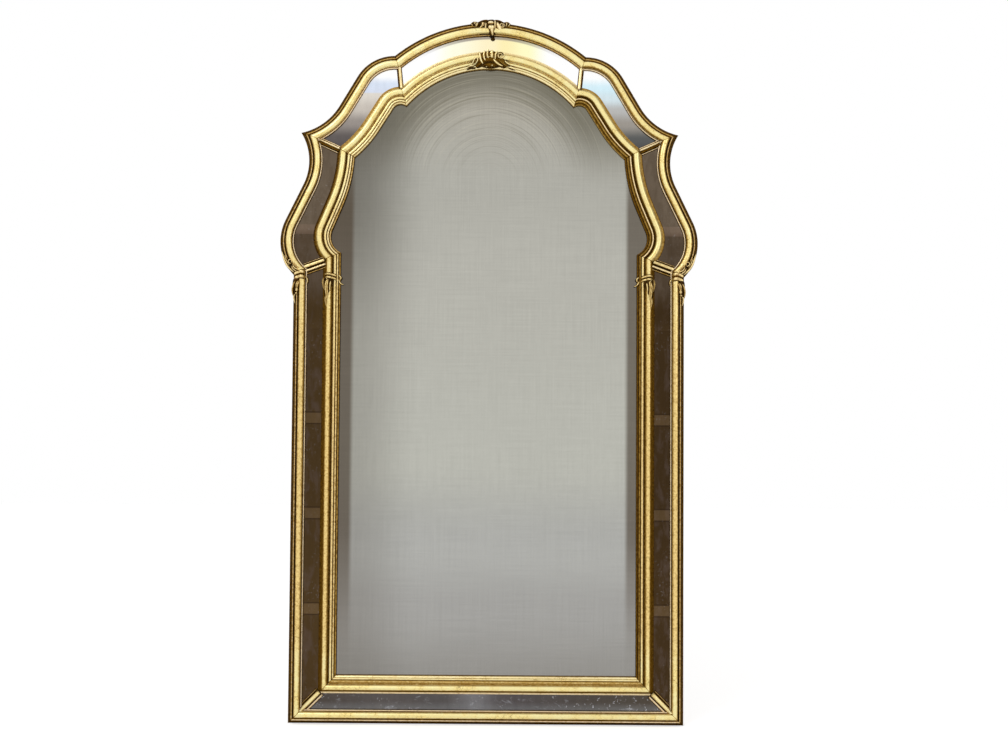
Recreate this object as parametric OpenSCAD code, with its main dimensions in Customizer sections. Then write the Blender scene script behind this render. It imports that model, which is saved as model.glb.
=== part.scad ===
// Gilt wall mirror with a mirrored border: an outer and an inner moulded frame,
// eight border plates between them, one large centre plate, planted carvings,
// a half-lapped pine base frame, backboards and two strap hangers.
// Everything is drawn lying on its back, X to the right, Y up the mirror and
// Z from the wall towards the viewer, and is then stood up by upright().

/* [Overall] */
// Width over the straight stiles
stile_span = 773; // [700:1:860]
// Height from the bottom edge to the top of the arched moulding
frame_height = 1386; // [1250:1:1600]

/* [Outer outline] */
// Radius of the arched top, on its outer edge
crest_radius = 302; // [280:1:330]
// Distance between the two notches beside the arch
notch_span = 381; // [350:1:410]
// Radius of the shoulder just below the notch
shoulder_round = 86; // [70:1:95]
// Distance of the ear tip below the top
ear_drop = 223.5; // [215:0.5:260]
// Distance of the ear tip inside the stile's outer edge
ear_inset = 11.5; // [5:0.5:25]
// Slope of the shoulder where it ends at the ear tip
ear_top_slope = 12.4; // [5:0.1:25]
// Radius of the hollow that sweeps into the ear from above
ear_top_round = 117; // [90:1:130]
// Slope, from upright, of the lobe where it starts at the ear tip
ear_low_slope = 31.9; // [20:0.1:40]
// Radius of the hollow below the ear
ear_low_round = 107; // [80:1:125]
// Distance of the waist corner below the top
waist_drop = 507.6; // [495:0.1:560]
// Slope, from upright, of the lobe where it ends at the waist
waist_slope = 44.1; // [35:0.1:55]
// Radius of the lobe above the waist
lobe_round = 97; // [85:1:110]

/* [Inner outline] */
// Radius of the inner arch, on its outer edge
inner_crest_radius = 257; // [245:1:275]
// Distance between the two inner notches
inner_notch_span = 356; // [335:1:375]
// Radius of the inner shoulder just below its notch
inner_shoulder_round = 52.3; // [46:0.1:60]
// Distance of the inner ear below the inner arch
inner_ear_drop = 197; // [185:1:215]
// Distance of the inner ear inside the inner stile's outer edge
inner_ear_inset = 25.5; // [18:0.5:32]
// Slope of the inner shoulder where it ends at the ear
inner_ear_slope = 36; // [30:1:42]
// Radius of the hollow that sweeps into the inner ear from above
inner_ear_top_round = 204; // [170:1:220]
// Radius of the hollow below the inner ear
inner_ear_low_round = 264; // [220:1:290]
// Distance of the inner lobe's widest point below the inner arch
inner_lobe_drop = 373; // [365:1:390]
// Distance the inner lobe swells outside the inner stile
inner_lobe_swell = 20.1; // [16:0.1:24]
// Radius of the inner lobe
inner_lobe_round = 70; // [60:1:80]

/* [Mouldings] */
// Width of the outer moulding
outer_w = 27; // [25:0.5:32]
// Width of the mirrored border that shows between the mouldings
border_w = 31; // [29:0.5:34]
// Width of the inner moulding
inner_w = 35; // [34:0.5:37]
// Radius of the outer moulding's torus
outer_torus_r = 6.2; // [5.5:0.1:6.6]
// Radius of the inner moulding's torus
inner_torus_r = 5.4; // [5:0.1:5.8]
// Radius of the large bead on the inner moulding
large_bead_r = 2.7; // [2.2:0.1:2.8]
// Radius of the small bead on the inner moulding
small_bead_r = 1.8; // [1.4:0.1:1.9]
// Width of the short mouldings that divide the border
divider_w = 14; // [11:0.5:16]
// Width of the divider's stem between two plates
divider_stem_w = 3; // [2.5:0.1:4]

/* [Glass] */
// Thickness of the border plates
border_glass_t = 3; // [2.5:0.1:3.4]
// Thickness of the centre plate
centre_glass_t = 3.5; // [3:0.1:5]
// Width of the rebates that cover the border plates
border_rebate_w = 6.5; // [5:0.1:7]

/* [Base and back] */
// Thickness of the base frame
base_t = 18; // [17:0.5:24]
// Distance the mouldings overhang the base frame
base_setback = 3; // [2:0.5:5]
// Width of the inner moulding's lip over the centre plate
plate_lip_w = 9; // [7:0.5:11]
// Thickness of the backboards
backboard_t = 6; // [5:0.5:7]
// Width of the ledge that the backboards lie on
backboard_ledge_w = 14; // [12:0.5:15]
// Half the length of the lap joints of the base frame
half_lap = 20; // [14:1:24]
// Height of the lower backboard
backboard_lower_h = 400; // [340:10:440]
// Distance of the joint of the middle and upper backboards below the top of the frame
backboard_joint_drop = 496; // [486:2:576]
// Gap between one backboard and the next
board_gap = 1.5; // [0.5:0.5:4]
// Length of the blocks that hold the centre plate
block_l = 60; // [40:5:80]
// Width of those blocks over the plate
block_w = 9; // [6:0.5:12]
// Thickness of the wall bumpers
bumper_t = 9; // [9:0.5:12]
// Radius of the wall bumpers
bumper_r = 10; // [8:0.5:13]

/* [Hangers] */
// Distance of the ring axis below the top of the frame
hanger_drop = 400; // [380:1:440]
// Distance of the hangers from the middle
hanger_x = 357; // [352:1:360]
// Width of the strap
strap_w = 14; // [10:0.5:16]
// Length of the strap from the ring axis to its lower end
strap_l = 52; // [50:1:60]
// Distance of the upper strap screw below the ring axis
strap_screw_drop = 28; // [26:0.5:30]
// Distance between the two strap screws
strap_screw_step = 15; // [10:0.5:17]
// Thickness of the strap
strap_t = 1.5; // [1.2:0.1:1.8]
// Radius of the ring's wire
ring_wire_r = 2; // [1.6:0.1:2.2]
// Radius of the ring's bow, to the middle of the wire
ring_r = 15; // [13:0.5:17]
// Radius of the ring's corner bends, to the middle of the wire
ring_bend_r = 4; // [3:0.5:5]
// Running clearance round the ring's bar
ring_clear = 0.05; // [0.02:0.01:0.1]
// Radius of the wood screws' shanks
screw_r = 1.6; // [1.4:0.1:2]
// Radius of the wood screws' heads
screw_head_r = 3.2; // [2.8:0.1:3.6]
// Height of the wood screws' heads
screw_head_h = 2; // [1.5:0.1:2.5]
// Length of the hanger screws below the head
hanger_screw_l = 14; // [12:0.5:16]
// Length of the backboard screws below the head
board_screw_l = 14; // [12:0.5:16]

/* [Carvings] */
// Height of the outer carvings above the base frame
carving_h = 28; // [26:0.5:34]
// Radius of the largest lobes of the carving on the outer arch
crest_lobe_r = 9; // [8:0.1:9.4]
// Distance of the leaves at the waist inside the outer edge
leaf_inset = 3; // [2:0.5:5]
// Distance of the collars at the waist inside the outer edge
collar_inset = 8; // [6:0.5:10]
// Length of the collars across the mouldings at the waist
collar_l = 15; // [12:0.5:18]
// Length of the middle petal of the palmette on the inner arch
palmette_petal_l = 25; // [22:0.5:27]
// Height of the inner carvings above the base frame
inner_carving_h = 22; // [21:0.5:26]

/* [Hidden] */
$fn = 96;

// Clearance between pieces that are seated on each other
seat_gap = 0.3;
// Clearance of a screw in its pilot hole
pilot_clear = 0.1;
// Clearance round the edge of a glass plate
glass_gap = 1;
// Overshoot of a cutting body beyond what it cuts
cut_over = 1;
// Extra turn of a swept arc past its mitre
mitre_over = 4;
// Distance a mitre line is drawn past the moulding
mitre_reach = 150;

gilt = [0.93, 0.82, 0.47];
gilt_dark = [0.78, 0.62, 0.28];
silvering = [0.6, 0.59, 0.56];
aged_silvering = [0.36, 0.31, 0.29];
pine = [0.72, 0.58, 0.4];
old_board = [0.55, 0.42, 0.28];
iron = [0.3, 0.28, 0.26];
brass = [0.7, 0.55, 0.25];
felt = [0.62, 0.45, 0.3];

base_back = bumper_t;
base_front = base_back + base_t;
lip_z = border_glass_t + 2 * seat_gap;
overall_depth = base_front + carving_h;
half_span = stile_span / 2;
inner_half_span = half_span - outer_w - border_w;
inner_top = frame_height - outer_w - border_w;
plate_cover = border_rebate_w - glass_gap;
opening_u = inner_w - plate_lip_w;
ledge_u = opening_u - backboard_ledge_w;

// Direction, and the direction to the left of it
function unit(a) = [cos(a), sin(a)];
function left_of(a) = [-sin(a), cos(a)];
function bearing(v) = atan2(v[1], v[0]);
function along(p, q, s) = p + (q - p) * s / norm(q - p);

// Where two circles cross, taking the crossing nearer to a given point
function circles_meet(c, r, e, s, near) =
    let (
        gap = norm(e - c),
        reach = (gap * gap + r * r - s * s) / (2 * gap),
        rise = sqrt(max(0, r * r - reach * reach)),
        a = bearing(e - c),
        p = c + reach * unit(a) + rise * left_of(a),
        q = c + reach * unit(a) - rise * left_of(a)
    )
    norm(p - near) < norm(q - near) ? p : q;

// A sweep of the outline: an arc, its straight tangent and an arc that turns the other way.
// turn is 1 where the first arc turns left and -1 where it turns right.
function sweep_centres(p, a, r, q, b, s, turn) = [p + turn * r * left_of(a), q - turn * s * left_of(b)];
function tangent_heading(c, r, s, turn) =
    bearing(c[1] - c[0]) + turn * asin((r + s) / norm(c[1] - c[0]));
// Heading of travel at point p of an arc about c
function heading_at(c, p, turn) =
    let (h = bearing(p - c) + 90 * turn)
    h > 90 ? h - 360 : h;

// Outer outline, right half, travelling clockwise with the object on the right.
// u is the distance inwards from the outline.
crest_c = [0, frame_height - crest_radius];
notch = [notch_span / 2, crest_c[1] + sqrt(pow(crest_radius, 2) - pow(notch_span / 2, 2))];
ear = [half_span - ear_inset, frame_height - ear_drop];
waist = [half_span, frame_height - waist_drop];
shoulder_c = sweep_centres(notch, 0, shoulder_round, ear, -ear_top_slope, ear_top_round, -1);
shoulder_h = tangent_heading(shoulder_c, shoulder_round, ear_top_round, -1);
lobe_c = sweep_centres(ear, -90 - ear_low_slope, ear_low_round, waist, -90 - waist_slope, lobe_round, 1);
lobe_h = tangent_heading(lobe_c, ear_low_round, lobe_round, 1);

function notch_at(u) = circles_meet(crest_c, crest_radius - u, shoulder_c[0], shoulder_round - u, notch);
function ear_at(u) = circles_meet(shoulder_c[1], ear_top_round + u, lobe_c[0], ear_low_round + u, ear);
function waist_at(u) = [
    half_span - u,
    lobe_c[1][1] - sqrt(pow(lobe_round - u, 2) - pow(half_span - u - lobe_c[1][0], 2))];
function corner_at(u) = [half_span - u, u];
function shoulder_start(u) = shoulder_c[0] + (shoulder_round - u) * left_of(shoulder_h);
function shoulder_end(u) = shoulder_c[1] - (ear_top_round + u) * left_of(shoulder_h);
function lobe_start(u) = lobe_c[0] - (ear_low_round + u) * left_of(lobe_h);
function lobe_end(u) = lobe_c[1] + (lobe_round - u) * left_of(lobe_h);

// Inner outline, the same way, from the inner moulding's outer edge
inner_crest_c = [0, inner_top - inner_crest_radius];
inner_notch = [
    inner_notch_span / 2,
    inner_crest_c[1] + sqrt(pow(inner_crest_radius, 2) - pow(inner_notch_span / 2, 2))];
inner_ear = [inner_half_span - inner_ear_inset, inner_top - inner_ear_drop];
inner_lobe_side = [inner_half_span + inner_lobe_swell, inner_top - inner_lobe_drop];
inner_shoulder_c = sweep_centres(
    inner_notch, 0, inner_shoulder_round, inner_ear, -inner_ear_slope, inner_ear_top_round, -1);
inner_shoulder_h = tangent_heading(inner_shoulder_c, inner_shoulder_round, inner_ear_top_round, -1);
inner_lobe_c = sweep_centres(
    inner_ear, -90, inner_ear_low_round, inner_lobe_side, -90, inner_lobe_round, 1);
inner_lobe_h = tangent_heading(inner_lobe_c, inner_ear_low_round, inner_lobe_round, 1);

function inner_notch_at(u) = circles_meet(
    inner_crest_c, inner_crest_radius - u, inner_shoulder_c[0], inner_shoulder_round - u, inner_notch);
function inner_ear_at(u) = circles_meet(
    inner_shoulder_c[1], inner_ear_top_round + u, inner_lobe_c[0], inner_ear_low_round + u, inner_ear);
function inner_waist_at(u) = [
    inner_half_span - u,
    inner_lobe_c[1][1]
        - sqrt(pow(inner_lobe_round - u, 2) - pow(inner_half_span - u - inner_lobe_c[1][0], 2))];
function inner_corner_at(u) = [inner_half_span - u, outer_w + border_w + u];
function inner_shoulder_start(u) =
    inner_shoulder_c[0] + (inner_shoulder_round - u) * left_of(inner_shoulder_h);
function inner_shoulder_end(u) =
    inner_shoulder_c[1] - (inner_ear_top_round + u) * left_of(inner_shoulder_h);
function inner_lobe_start(u) = inner_lobe_c[0] - (inner_ear_low_round + u) * left_of(inner_lobe_h);
function inner_lobe_end(u) = inner_lobe_c[1] + (inner_lobe_round - u) * left_of(inner_lobe_h);

// The closed outline of a right side that is given from the top down
function outline(side) = concat(
    [for (i = [len(side) - 1:-1:0]) side[i]],
    [for (p = side) [-p[0], p[1]]]);

// A disc about c and the same on the left
module discs(c, r) {
    for (side = [-1, 1])
        translate([side * c[0], c[1]]) circle(r);
}

// Everything inside the outer outline moved inwards by u
module outer_region(u) {
    difference() {
        union() {
            polygon(outline([shoulder_c[0], shoulder_start(u), shoulder_end(u), shoulder_c[1],
                lobe_c[0], lobe_start(u), lobe_end(u), lobe_c[1],
                [half_span - u, lobe_c[1][1]], corner_at(u)]));
            translate(crest_c) circle(crest_radius - u);
            discs(shoulder_c[0], shoulder_round - u);
            discs(lobe_c[1], lobe_round - u);
        }
        discs(shoulder_c[1], ear_top_round + u);
        discs(lobe_c[0], ear_low_round + u);
    }
}

// Everything inside the inner outline moved inwards by u
module inner_region(u) {
    difference() {
        union() {
            polygon(outline([inner_shoulder_c[0], inner_shoulder_start(u), inner_shoulder_end(u),
                inner_shoulder_c[1], inner_lobe_c[0], inner_lobe_start(u), inner_lobe_end(u), inner_lobe_c[1],
                [inner_half_span - u, inner_lobe_c[1][1]], inner_corner_at(u)]));
            translate(inner_crest_c) circle(inner_crest_radius - u);
            discs(inner_shoulder_c[0], inner_shoulder_round - u);
            discs(inner_lobe_c[1], inner_lobe_round - u);
        }
        discs(inner_shoulder_c[1], inner_ear_top_round + u);
        discs(inner_lobe_c[0], inner_ear_low_round + u);
    }
}

// The area between two mitre lines, each from an outer to an inner point and
// moved sideways, to the right of its outward direction, by s and t
module between_mitres(a, b, c, d, s = 0, t = 0) {
    move_s = -s * left_of(bearing(a - b));
    move_t = -t * left_of(bearing(c - d));
    polygon([
        along(a, b, -mitre_reach) + move_s,
        along(b, a, -mitre_reach) + move_s,
        along(d, c, -mitre_reach) + move_t,
        along(c, d, -mitre_reach) + move_t]);
}

// Section of the outer moulding: u inwards from its outer edge, v up from the base frame
fillet_v = 12.5;
outer_torus_u = 16.3;
outer_torus_v = 13.2;
sight_bead_r = 1.8;
sight_wall = 0.4;
module outer_section() {
    difference() {
        square([20.5, fillet_v]);
        translate([-0.6, 10.2]) circle(4);
        translate([9, 13]) circle(2.4);
    }
    difference() {
        translate([18, lip_z]) square([outer_w - sight_wall - 18, fillet_v - lip_z]);
        translate([24.6, 13]) circle(6.2);
        translate([24.6, 9.5]) square([4, 4]);
    }
    translate([outer_torus_u, outer_torus_v]) circle(outer_torus_r);
    translate([outer_w - sight_bead_r, 6.6]) circle(sight_bead_r);
}

// Four flat facets laid over the top of a round of radius r about c
function facets_over(c, r) = [for (a = [22.5:45:157.5]) c + r / cos(22.5) * unit(a)];

// Space the outer moulding takes under a carving
module outer_seat() {
    c = [outer_torus_u, outer_torus_v];
    r = outer_torus_r + seat_gap;
    cove_v = 9.2;
    polygon(concat(
        [[-cut_over, 0], [outer_w + seat_gap, 0], [outer_w + seat_gap, cove_v], [c[0] + r, cove_v]],
        facets_over(c, r),
        [[c[0] - r, fillet_v + seat_gap], [-cut_over, fillet_v + seat_gap]]));
}

// Section of the inner moulding, from its border side to its sight edge
inner_torus_u = 9.2;
inner_torus_v = 12.2;
bead_bed_v = 8;
sight_v = 6;
sight_bevel = 4.6;
hollow_c = [-0.6, 11.6];
hollow_r = 5.6;
groove_c = [15.8, 9.6];
groove_r = 2.9;
large_bead_c = [21.3, 9.6];
small_bead_c = [27.6, 8.6];
module inner_section() {
    difference() {
        polygon([[border_rebate_w, 0], [inner_w, 0], [inner_w, sight_v], [inner_w - sight_bevel, bead_bed_v],
            [12, bead_bed_v], [12, fillet_v], [0, fillet_v], [0, lip_z], [border_rebate_w, lip_z]]);
        translate(hollow_c) circle(hollow_r);
        translate(groove_c) circle(groove_r);
    }
    translate([inner_torus_u, inner_torus_v]) circle(inner_torus_r);
    translate(large_bead_c) circle(large_bead_r);
    translate(small_bead_c) circle(small_bead_r);
}

// Space the inner moulding takes under a carving
module inner_seat() {
    c = [inner_torus_u, inner_torus_v];
    r = inner_torus_r + seat_gap;
    large_u = large_bead_c[0] + large_bead_r + seat_gap;
    large_v = large_bead_c[1] + large_bead_r + seat_gap;
    small_v = small_bead_c[1] + small_bead_r + seat_gap;
    polygon(concat(
        [[-cut_over, 0], [inner_w + cut_over, 0], [inner_w + cut_over, small_v],
            [large_u, small_v], [large_u, large_v], [c[0] + r, large_v]],
        facets_over(c, r),
        [[c[0] - r, fillet_v + seat_gap], [-cut_over, fillet_v + seat_gap]]));
}

// Section of a divider, v up from the base frame, centred on its stem
module divider_section() {
    half = divider_w / 2;
    stem = divider_stem_w / 2;
    bead_r = 2.6;
    polygon([[-stem, 0], [stem, 0], [stem, lip_z], [half, lip_z], [half, lip_z + 1.4],
        [0, lip_z + 3.4], [-half, lip_z + 1.4], [-half, lip_z], [-stem, lip_z]]);
    for (side = [-1, 1])
        translate([side * (half - bead_r - 1.2), lip_z + 2.8]) circle(bead_r);
}

// Carries a section round an arc about c, from one heading of travel to another
module arc_run(c, r, from, to, turn) {
    start = turn < 0 ? to + 90 : from - 90;
    translate([c[0], c[1], 0]) rotate([0, 0, start]) rotate_extrude(angle = abs(to - from))
        translate([r, 0]) mirror([turn < 0 ? 1 : 0, 0]) children();
}

// Carries a section along a straight line from p to q
module straight_run(p, q) {
    translate([q[0], q[1], 0]) rotate([90, 0, bearing(q - p) - 90]) linear_extrude(norm(q - p)) children();
}

// Carries a section from the origin, heading along X, round a bend: turn is 1 to the left and -1 to the right
module bend(r, angle, turn) {
    translate([0, turn * r, 0]) mirror([turn < 0 ? 1 : 0, 0, 0]) rotate([0, 0, -90 * turn])
        rotate_extrude(angle = angle) translate([r, 0]) mirror([turn < 0 ? 1 : 0, 0]) children();
}

// Carries a section round a bend, along the straight line from p to q and round the opposite bend
module reversed_bends(p, q, r, angle, s, end_angle, turn) {
    reach = norm(q - p);
    translate([p[0], p[1], 0]) rotate([0, 0, bearing(q - p)]) {
        mirror([1, 0, 0]) bend(r, angle, turn) children();
        translate([reach, 0, 0]) rotate([90, 0, -90]) linear_extrude(reach) children();
        translate([reach, 0, 0]) bend(s, end_angle, -turn) children();
    }
}

// Cuts a run to the mitres at its two ends
module mitred(a, b, c, d) {
    intersection() {
        union() children();
        translate([0, 0, -cut_over]) linear_extrude(carving_h + 2 * cut_over) between_mitres(a, b, c, d);
    }
}

module flip(left) {
    mirror([left ? 1 : 0, 0, 0]) children();
}

module outer_crest_run() {
    reach = asin(notch_span / 2 / crest_radius) + mitre_over;
    arc_run(crest_c, crest_radius, reach, -reach, -1) children();
}

module outer_crest_moulding() {
    a = notch_at(outer_w);
    color(gilt) upright() translate([0, 0, base_front])
        mitred([-notch[0], notch[1]], [-a[0], a[1]], notch, a) outer_crest_run() outer_section();
}

module outer_shoulder_moulding(left) {
    a = notch_at(outer_w);
    b = ear_at(outer_w);
    color(gilt) upright() translate([0, 0, base_front]) flip(left) mitred(notch, a, ear, b)
        reversed_bends(shoulder_start(0), shoulder_end(0),
            shoulder_round, heading_at(shoulder_c[0], a, -1) + mitre_over - shoulder_h,
            ear_top_round, mitre_over - ear_top_slope - shoulder_h, -1) outer_section();
}

module outer_lobe_moulding(left) {
    a = ear_at(outer_w);
    b = waist_at(outer_w);
    color(gilt) upright() translate([0, 0, base_front]) flip(left) mitred(ear, a, waist, b)
        reversed_bends(lobe_start(0), lobe_end(0),
            ear_low_round, lobe_h + 90 + ear_low_slope + mitre_over,
            lobe_round, lobe_h - heading_at(lobe_c[1], b, -1) + mitre_over, 1) outer_section();
}

module outer_stile_moulding(left) {
    color(gilt) upright() translate([0, 0, base_front]) flip(left)
        mitred(waist, waist_at(outer_w), corner_at(0), corner_at(outer_w))
            straight_run([half_span, waist[1] + outer_w], [half_span, 0]) outer_section();
}

module outer_bottom_moulding() {
    color(gilt) upright() translate([0, 0, base_front])
        mitred(corner_at(0), corner_at(outer_w), [-half_span, 0], [outer_w - half_span, outer_w])
            straight_run([half_span, 0], [-half_span, 0]) outer_section();
}

module inner_crest_run() {
    reach = asin(inner_notch_span / 2 / inner_crest_radius) + mitre_over;
    arc_run(inner_crest_c, inner_crest_radius, reach, -reach, -1) children();
}

module inner_crest_moulding() {
    a = inner_notch_at(inner_w);
    color(gilt) upright() translate([0, 0, base_front])
        mitred([-inner_notch[0], inner_notch[1]], [-a[0], a[1]], inner_notch, a)
            inner_crest_run() inner_section();
}

module inner_shoulder_moulding(left) {
    a = inner_notch_at(inner_w);
    b = inner_ear_at(inner_w);
    color(gilt) upright() translate([0, 0, base_front]) flip(left) mitred(inner_notch, a, inner_ear, b)
        reversed_bends(inner_shoulder_start(0), inner_shoulder_end(0),
            inner_shoulder_round, heading_at(inner_shoulder_c[0], a, -1) + mitre_over - inner_shoulder_h,
            inner_ear_top_round, mitre_over - inner_ear_slope - inner_shoulder_h, -1) inner_section();
}

module inner_lobe_moulding(left) {
    a = inner_ear_at(inner_w);
    b = inner_waist_at(inner_w);
    color(gilt) upright() translate([0, 0, base_front]) flip(left) mitred(inner_ear, a, inner_waist_at(0), b)
        reversed_bends(inner_lobe_start(0), inner_lobe_end(0),
            inner_ear_low_round, inner_lobe_h + 90 + mitre_over,
            inner_lobe_round, inner_lobe_h - heading_at(inner_lobe_c[1], b, -1) + mitre_over, 1)
            inner_section();
}

module inner_stile_run() {
    straight_run([inner_half_span, inner_waist_at(0)[1] + inner_w + cut_over],
        [inner_half_span, inner_corner_at(0)[1]]) children();
}

module inner_stile_moulding(left) {
    color(gilt) upright() translate([0, 0, base_front]) flip(left)
        mitred(inner_waist_at(0), inner_waist_at(inner_w), inner_corner_at(0), inner_corner_at(inner_w))
            inner_stile_run() inner_section();
}

module inner_bottom_moulding() {
    a = inner_corner_at(0);
    b = inner_corner_at(inner_w);
    color(gilt) upright() translate([0, 0, base_front])
        mitred(a, b, [-a[0], a[1]], [-b[0], b[1]]) straight_run(a, [-a[0], a[1]]) inner_section();
}

// Outer and inner ends of the four divider lines of the right half
divider_ends = [
    [notch_at(outer_w), inner_notch_at(0)],
    [ear_at(outer_w), inner_ear_at(0)],
    [waist_at(outer_w), inner_waist_at(0)],
    [corner_at(outer_w), inner_corner_at(0)]];

module divider(index, left) {
    ends = divider_ends[index];
    run_out = divider_w;
    color(gilt) upright() translate([0, 0, base_front]) flip(left) intersection() {
        straight_run(along(ends[0], ends[1], -run_out), along(ends[1], ends[0], -run_out)) divider_section();
        translate([0, 0, -cut_over]) linear_extrude(carving_h) difference() {
            outer_region(outer_w + seat_gap);
            inner_region(-seat_gap);
        }
    }
}

// One border plate between two divider lines, its edges under both mouldings
module border_plate(first, second, left, tint) {
    a = divider_ends[first];
    b = divider_ends[second];
    s = divider_stem_w / 2 + seat_gap;
    color(tint) upright() translate([0, 0, base_front]) flip(left) linear_extrude(border_glass_t)
        intersection() {
            border_strip();
            between_mitres(a[0], a[1], b[0], b[1], s, -s);
        }
}

module border_strip() {
    difference() {
        outer_region(outer_w - plate_cover);
        inner_region(plate_cover);
    }
}

// The border plate above or below, which crosses the middle
module middle_plate(index, tint) {
    a = divider_ends[index];
    s = index == 0 ? divider_stem_w / 2 + seat_gap : -divider_stem_w / 2 - seat_gap;
    color(tint) upright() translate([0, 0, base_front]) linear_extrude(border_glass_t)
        intersection() {
            border_strip();
            between_mitres([-a[0][0], a[0][1]], [-a[1][0], a[1][1]], a[0], a[1], s, -s);
        }
}

module centre_plate() {
    color(silvering) upright() translate([0, 0, base_front - seat_gap - centre_glass_t])
        linear_extrude(centre_glass_t) inner_region(opening_u + glass_gap);
}

// Places of the screws that hold the backboards, right half
ledge_mid_u = (opening_u + ledge_u) / 2;
board_low = outer_w + border_w + ledge_u;
lower_split = board_low + backboard_lower_h;
upper_split = frame_height - backboard_joint_drop;
screw_inset = 50;
screw_x = inner_half_span - ledge_mid_u;
lower_screws = [[screw_x, board_low + screw_inset], [screw_x, lower_split - screw_inset]];
middle_screws = [[screw_x, lower_split + screw_inset], [screw_x, upper_split - screw_inset]];
upper_screws = [
    inner_lobe_side - [ledge_mid_u, 0],
    inner_crest_c + (inner_crest_radius - ledge_mid_u) * unit(62)];
board_screw_places = concat(lower_screws, middle_screws, upper_screws);
strap_screws = [for (i = [0, 1])
    [hanger_x, frame_height - hanger_drop - strap_screw_drop - i * strap_screw_step]];

function both_x(points) = [for (p = points, side = [-1, 1]) [side * p[0], p[1]]];

module screw_holes(points, r, low, high) {
    for (p = points)
        translate([p[0], p[1], low]) cylinder(h = high - low, r = r);
}

// One board of the base frame, half lapped to its neighbours at both ends:
// the front half runs on past the joint by half_lap and the back half stops short
module base_board(a, b, c, d, first, last) {
    difference() {
        union() {
            translate([0, 0, base_back]) linear_extrude(base_t / 2) intersection() {
                outer_region(base_setback);
                between_mitres(a, b, c, d, first, last);
            }
            translate([0, 0, base_back + base_t / 2]) linear_extrude(base_t / 2) intersection() {
                outer_region(base_setback);
                between_mitres(a, b, c, d, -first, -last);
            }
        }
        translate([0, 0, base_back - cut_over]) linear_extrude(base_t + 2 * cut_over) inner_region(opening_u);
        translate([0, 0, base_back - cut_over]) linear_extrude(backboard_t + cut_over) inner_region(ledge_u);
        screw_holes(both_x(board_screw_places), screw_r + pilot_clear,
            base_back, base_back + board_screw_l + cut_over);
        screw_holes(both_x(strap_screws), screw_r + pilot_clear,
            base_back - cut_over, base_back + hanger_screw_l + cut_over);
    }
}

// Joint lines of the base frame, each an outer and an inner point, right half
notch_line = [notch, notch_at(outer_w)];
ear_line = [ear, ear_at(outer_w)];
waist_line = [waist, waist_at(outer_w)];
corner_line = [corner_at(0), corner_at(outer_w)];

module base_side(left, first, last) {
    upright_flip(left) base_board(first[0], first[1], last[0], last[1], -half_lap, -half_lap);
}

module base_crest() {
    upright_flip(false) base_board([-notch[0], notch[1]], [-notch_line[1][0], notch_line[1][1]],
        notch, notch_line[1], half_lap, -half_lap);
}

module base_shoulder(left) {
    base_side(left, notch_line, ear_line);
}

module base_lobe(left) {
    base_side(left, ear_line, waist_line);
}

module base_stile(left) {
    base_side(left, waist_line, corner_line);
}

module base_bottom_rail() {
    a = corner_line;
    upright_flip(false) base_board(a[0], a[1], [-a[0][0], a[0][1]], [-a[1][0], a[1][1]], -half_lap, half_lap);
}

module backboard_upper() {
    backboard(upper_split + board_gap / 2, frame_height);
}

module backboard_middle() {
    backboard(lower_split + board_gap / 2, upper_split - board_gap / 2);
}

module backboard_lower() {
    backboard(board_low - cut_over, lower_split - board_gap / 2);
}

// One backboard in the rebate behind the centre plate
module backboard(low, high) {
    far = half_span + lobe_round;
    color(old_board) upright() translate([0, 0, base_back]) linear_extrude(backboard_t) difference() {
        intersection() {
            inner_region(ledge_u + glass_gap);
            translate([-far, low]) square([2 * far, high - low]);
        }
        for (p = both_x(board_screw_places))
            translate(p) circle(screw_r + seat_gap);
    }
}

// A screw standing on its point: the shank runs to the front from its head
module screw(head_face, length) {
    translate([0, 0, head_face]) cylinder(h = length, r = screw_r);
    translate([0, 0, head_face - screw_head_h]) cylinder(h = screw_head_h, r = screw_head_r);
}

module backboard_screws() {
    color(iron) upright() for (p = both_x(board_screw_places))
        translate([p[0], p[1], 0]) screw(base_back, board_screw_l);
}

// Three-cornered section of a block, in the angle of the plate's back and the base frame
block_front = base_front - centre_glass_t - 2 * seat_gap;
block_back = base_back + backboard_t + seat_gap;
module block_section() {
    polygon([[0, block_back], [0, block_front], [block_w, block_front], [2, block_back]]);
}

// Blocks along the stiles, the bottom and the arch that hold the centre plate in place
module plate_blocks() {
    edge = inner_half_span - opening_u;
    sill = outer_w + border_w + opening_u;
    rise = (inner_waist_at(0)[1] - sill) / 4;
    arch_r = inner_crest_radius - opening_u;
    turn = block_l / arch_r * 90 / PI;
    half = block_l / 2;
    color(pine) upright() {
        for (left = [true, false]) flip(left) {
            for (i = [1, 2, 3])
                straight_run([edge, sill + i * rise + half], [edge, sill + i * rise - half]) block_section();
            straight_run([edge / 2 + half, sill], [edge / 2 - half, sill]) block_section();
        }
        for (h = [-22, 22])
            arc_run(inner_crest_c, arch_r, h + turn, h - turn, -1) block_section();
    }
}

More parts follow.
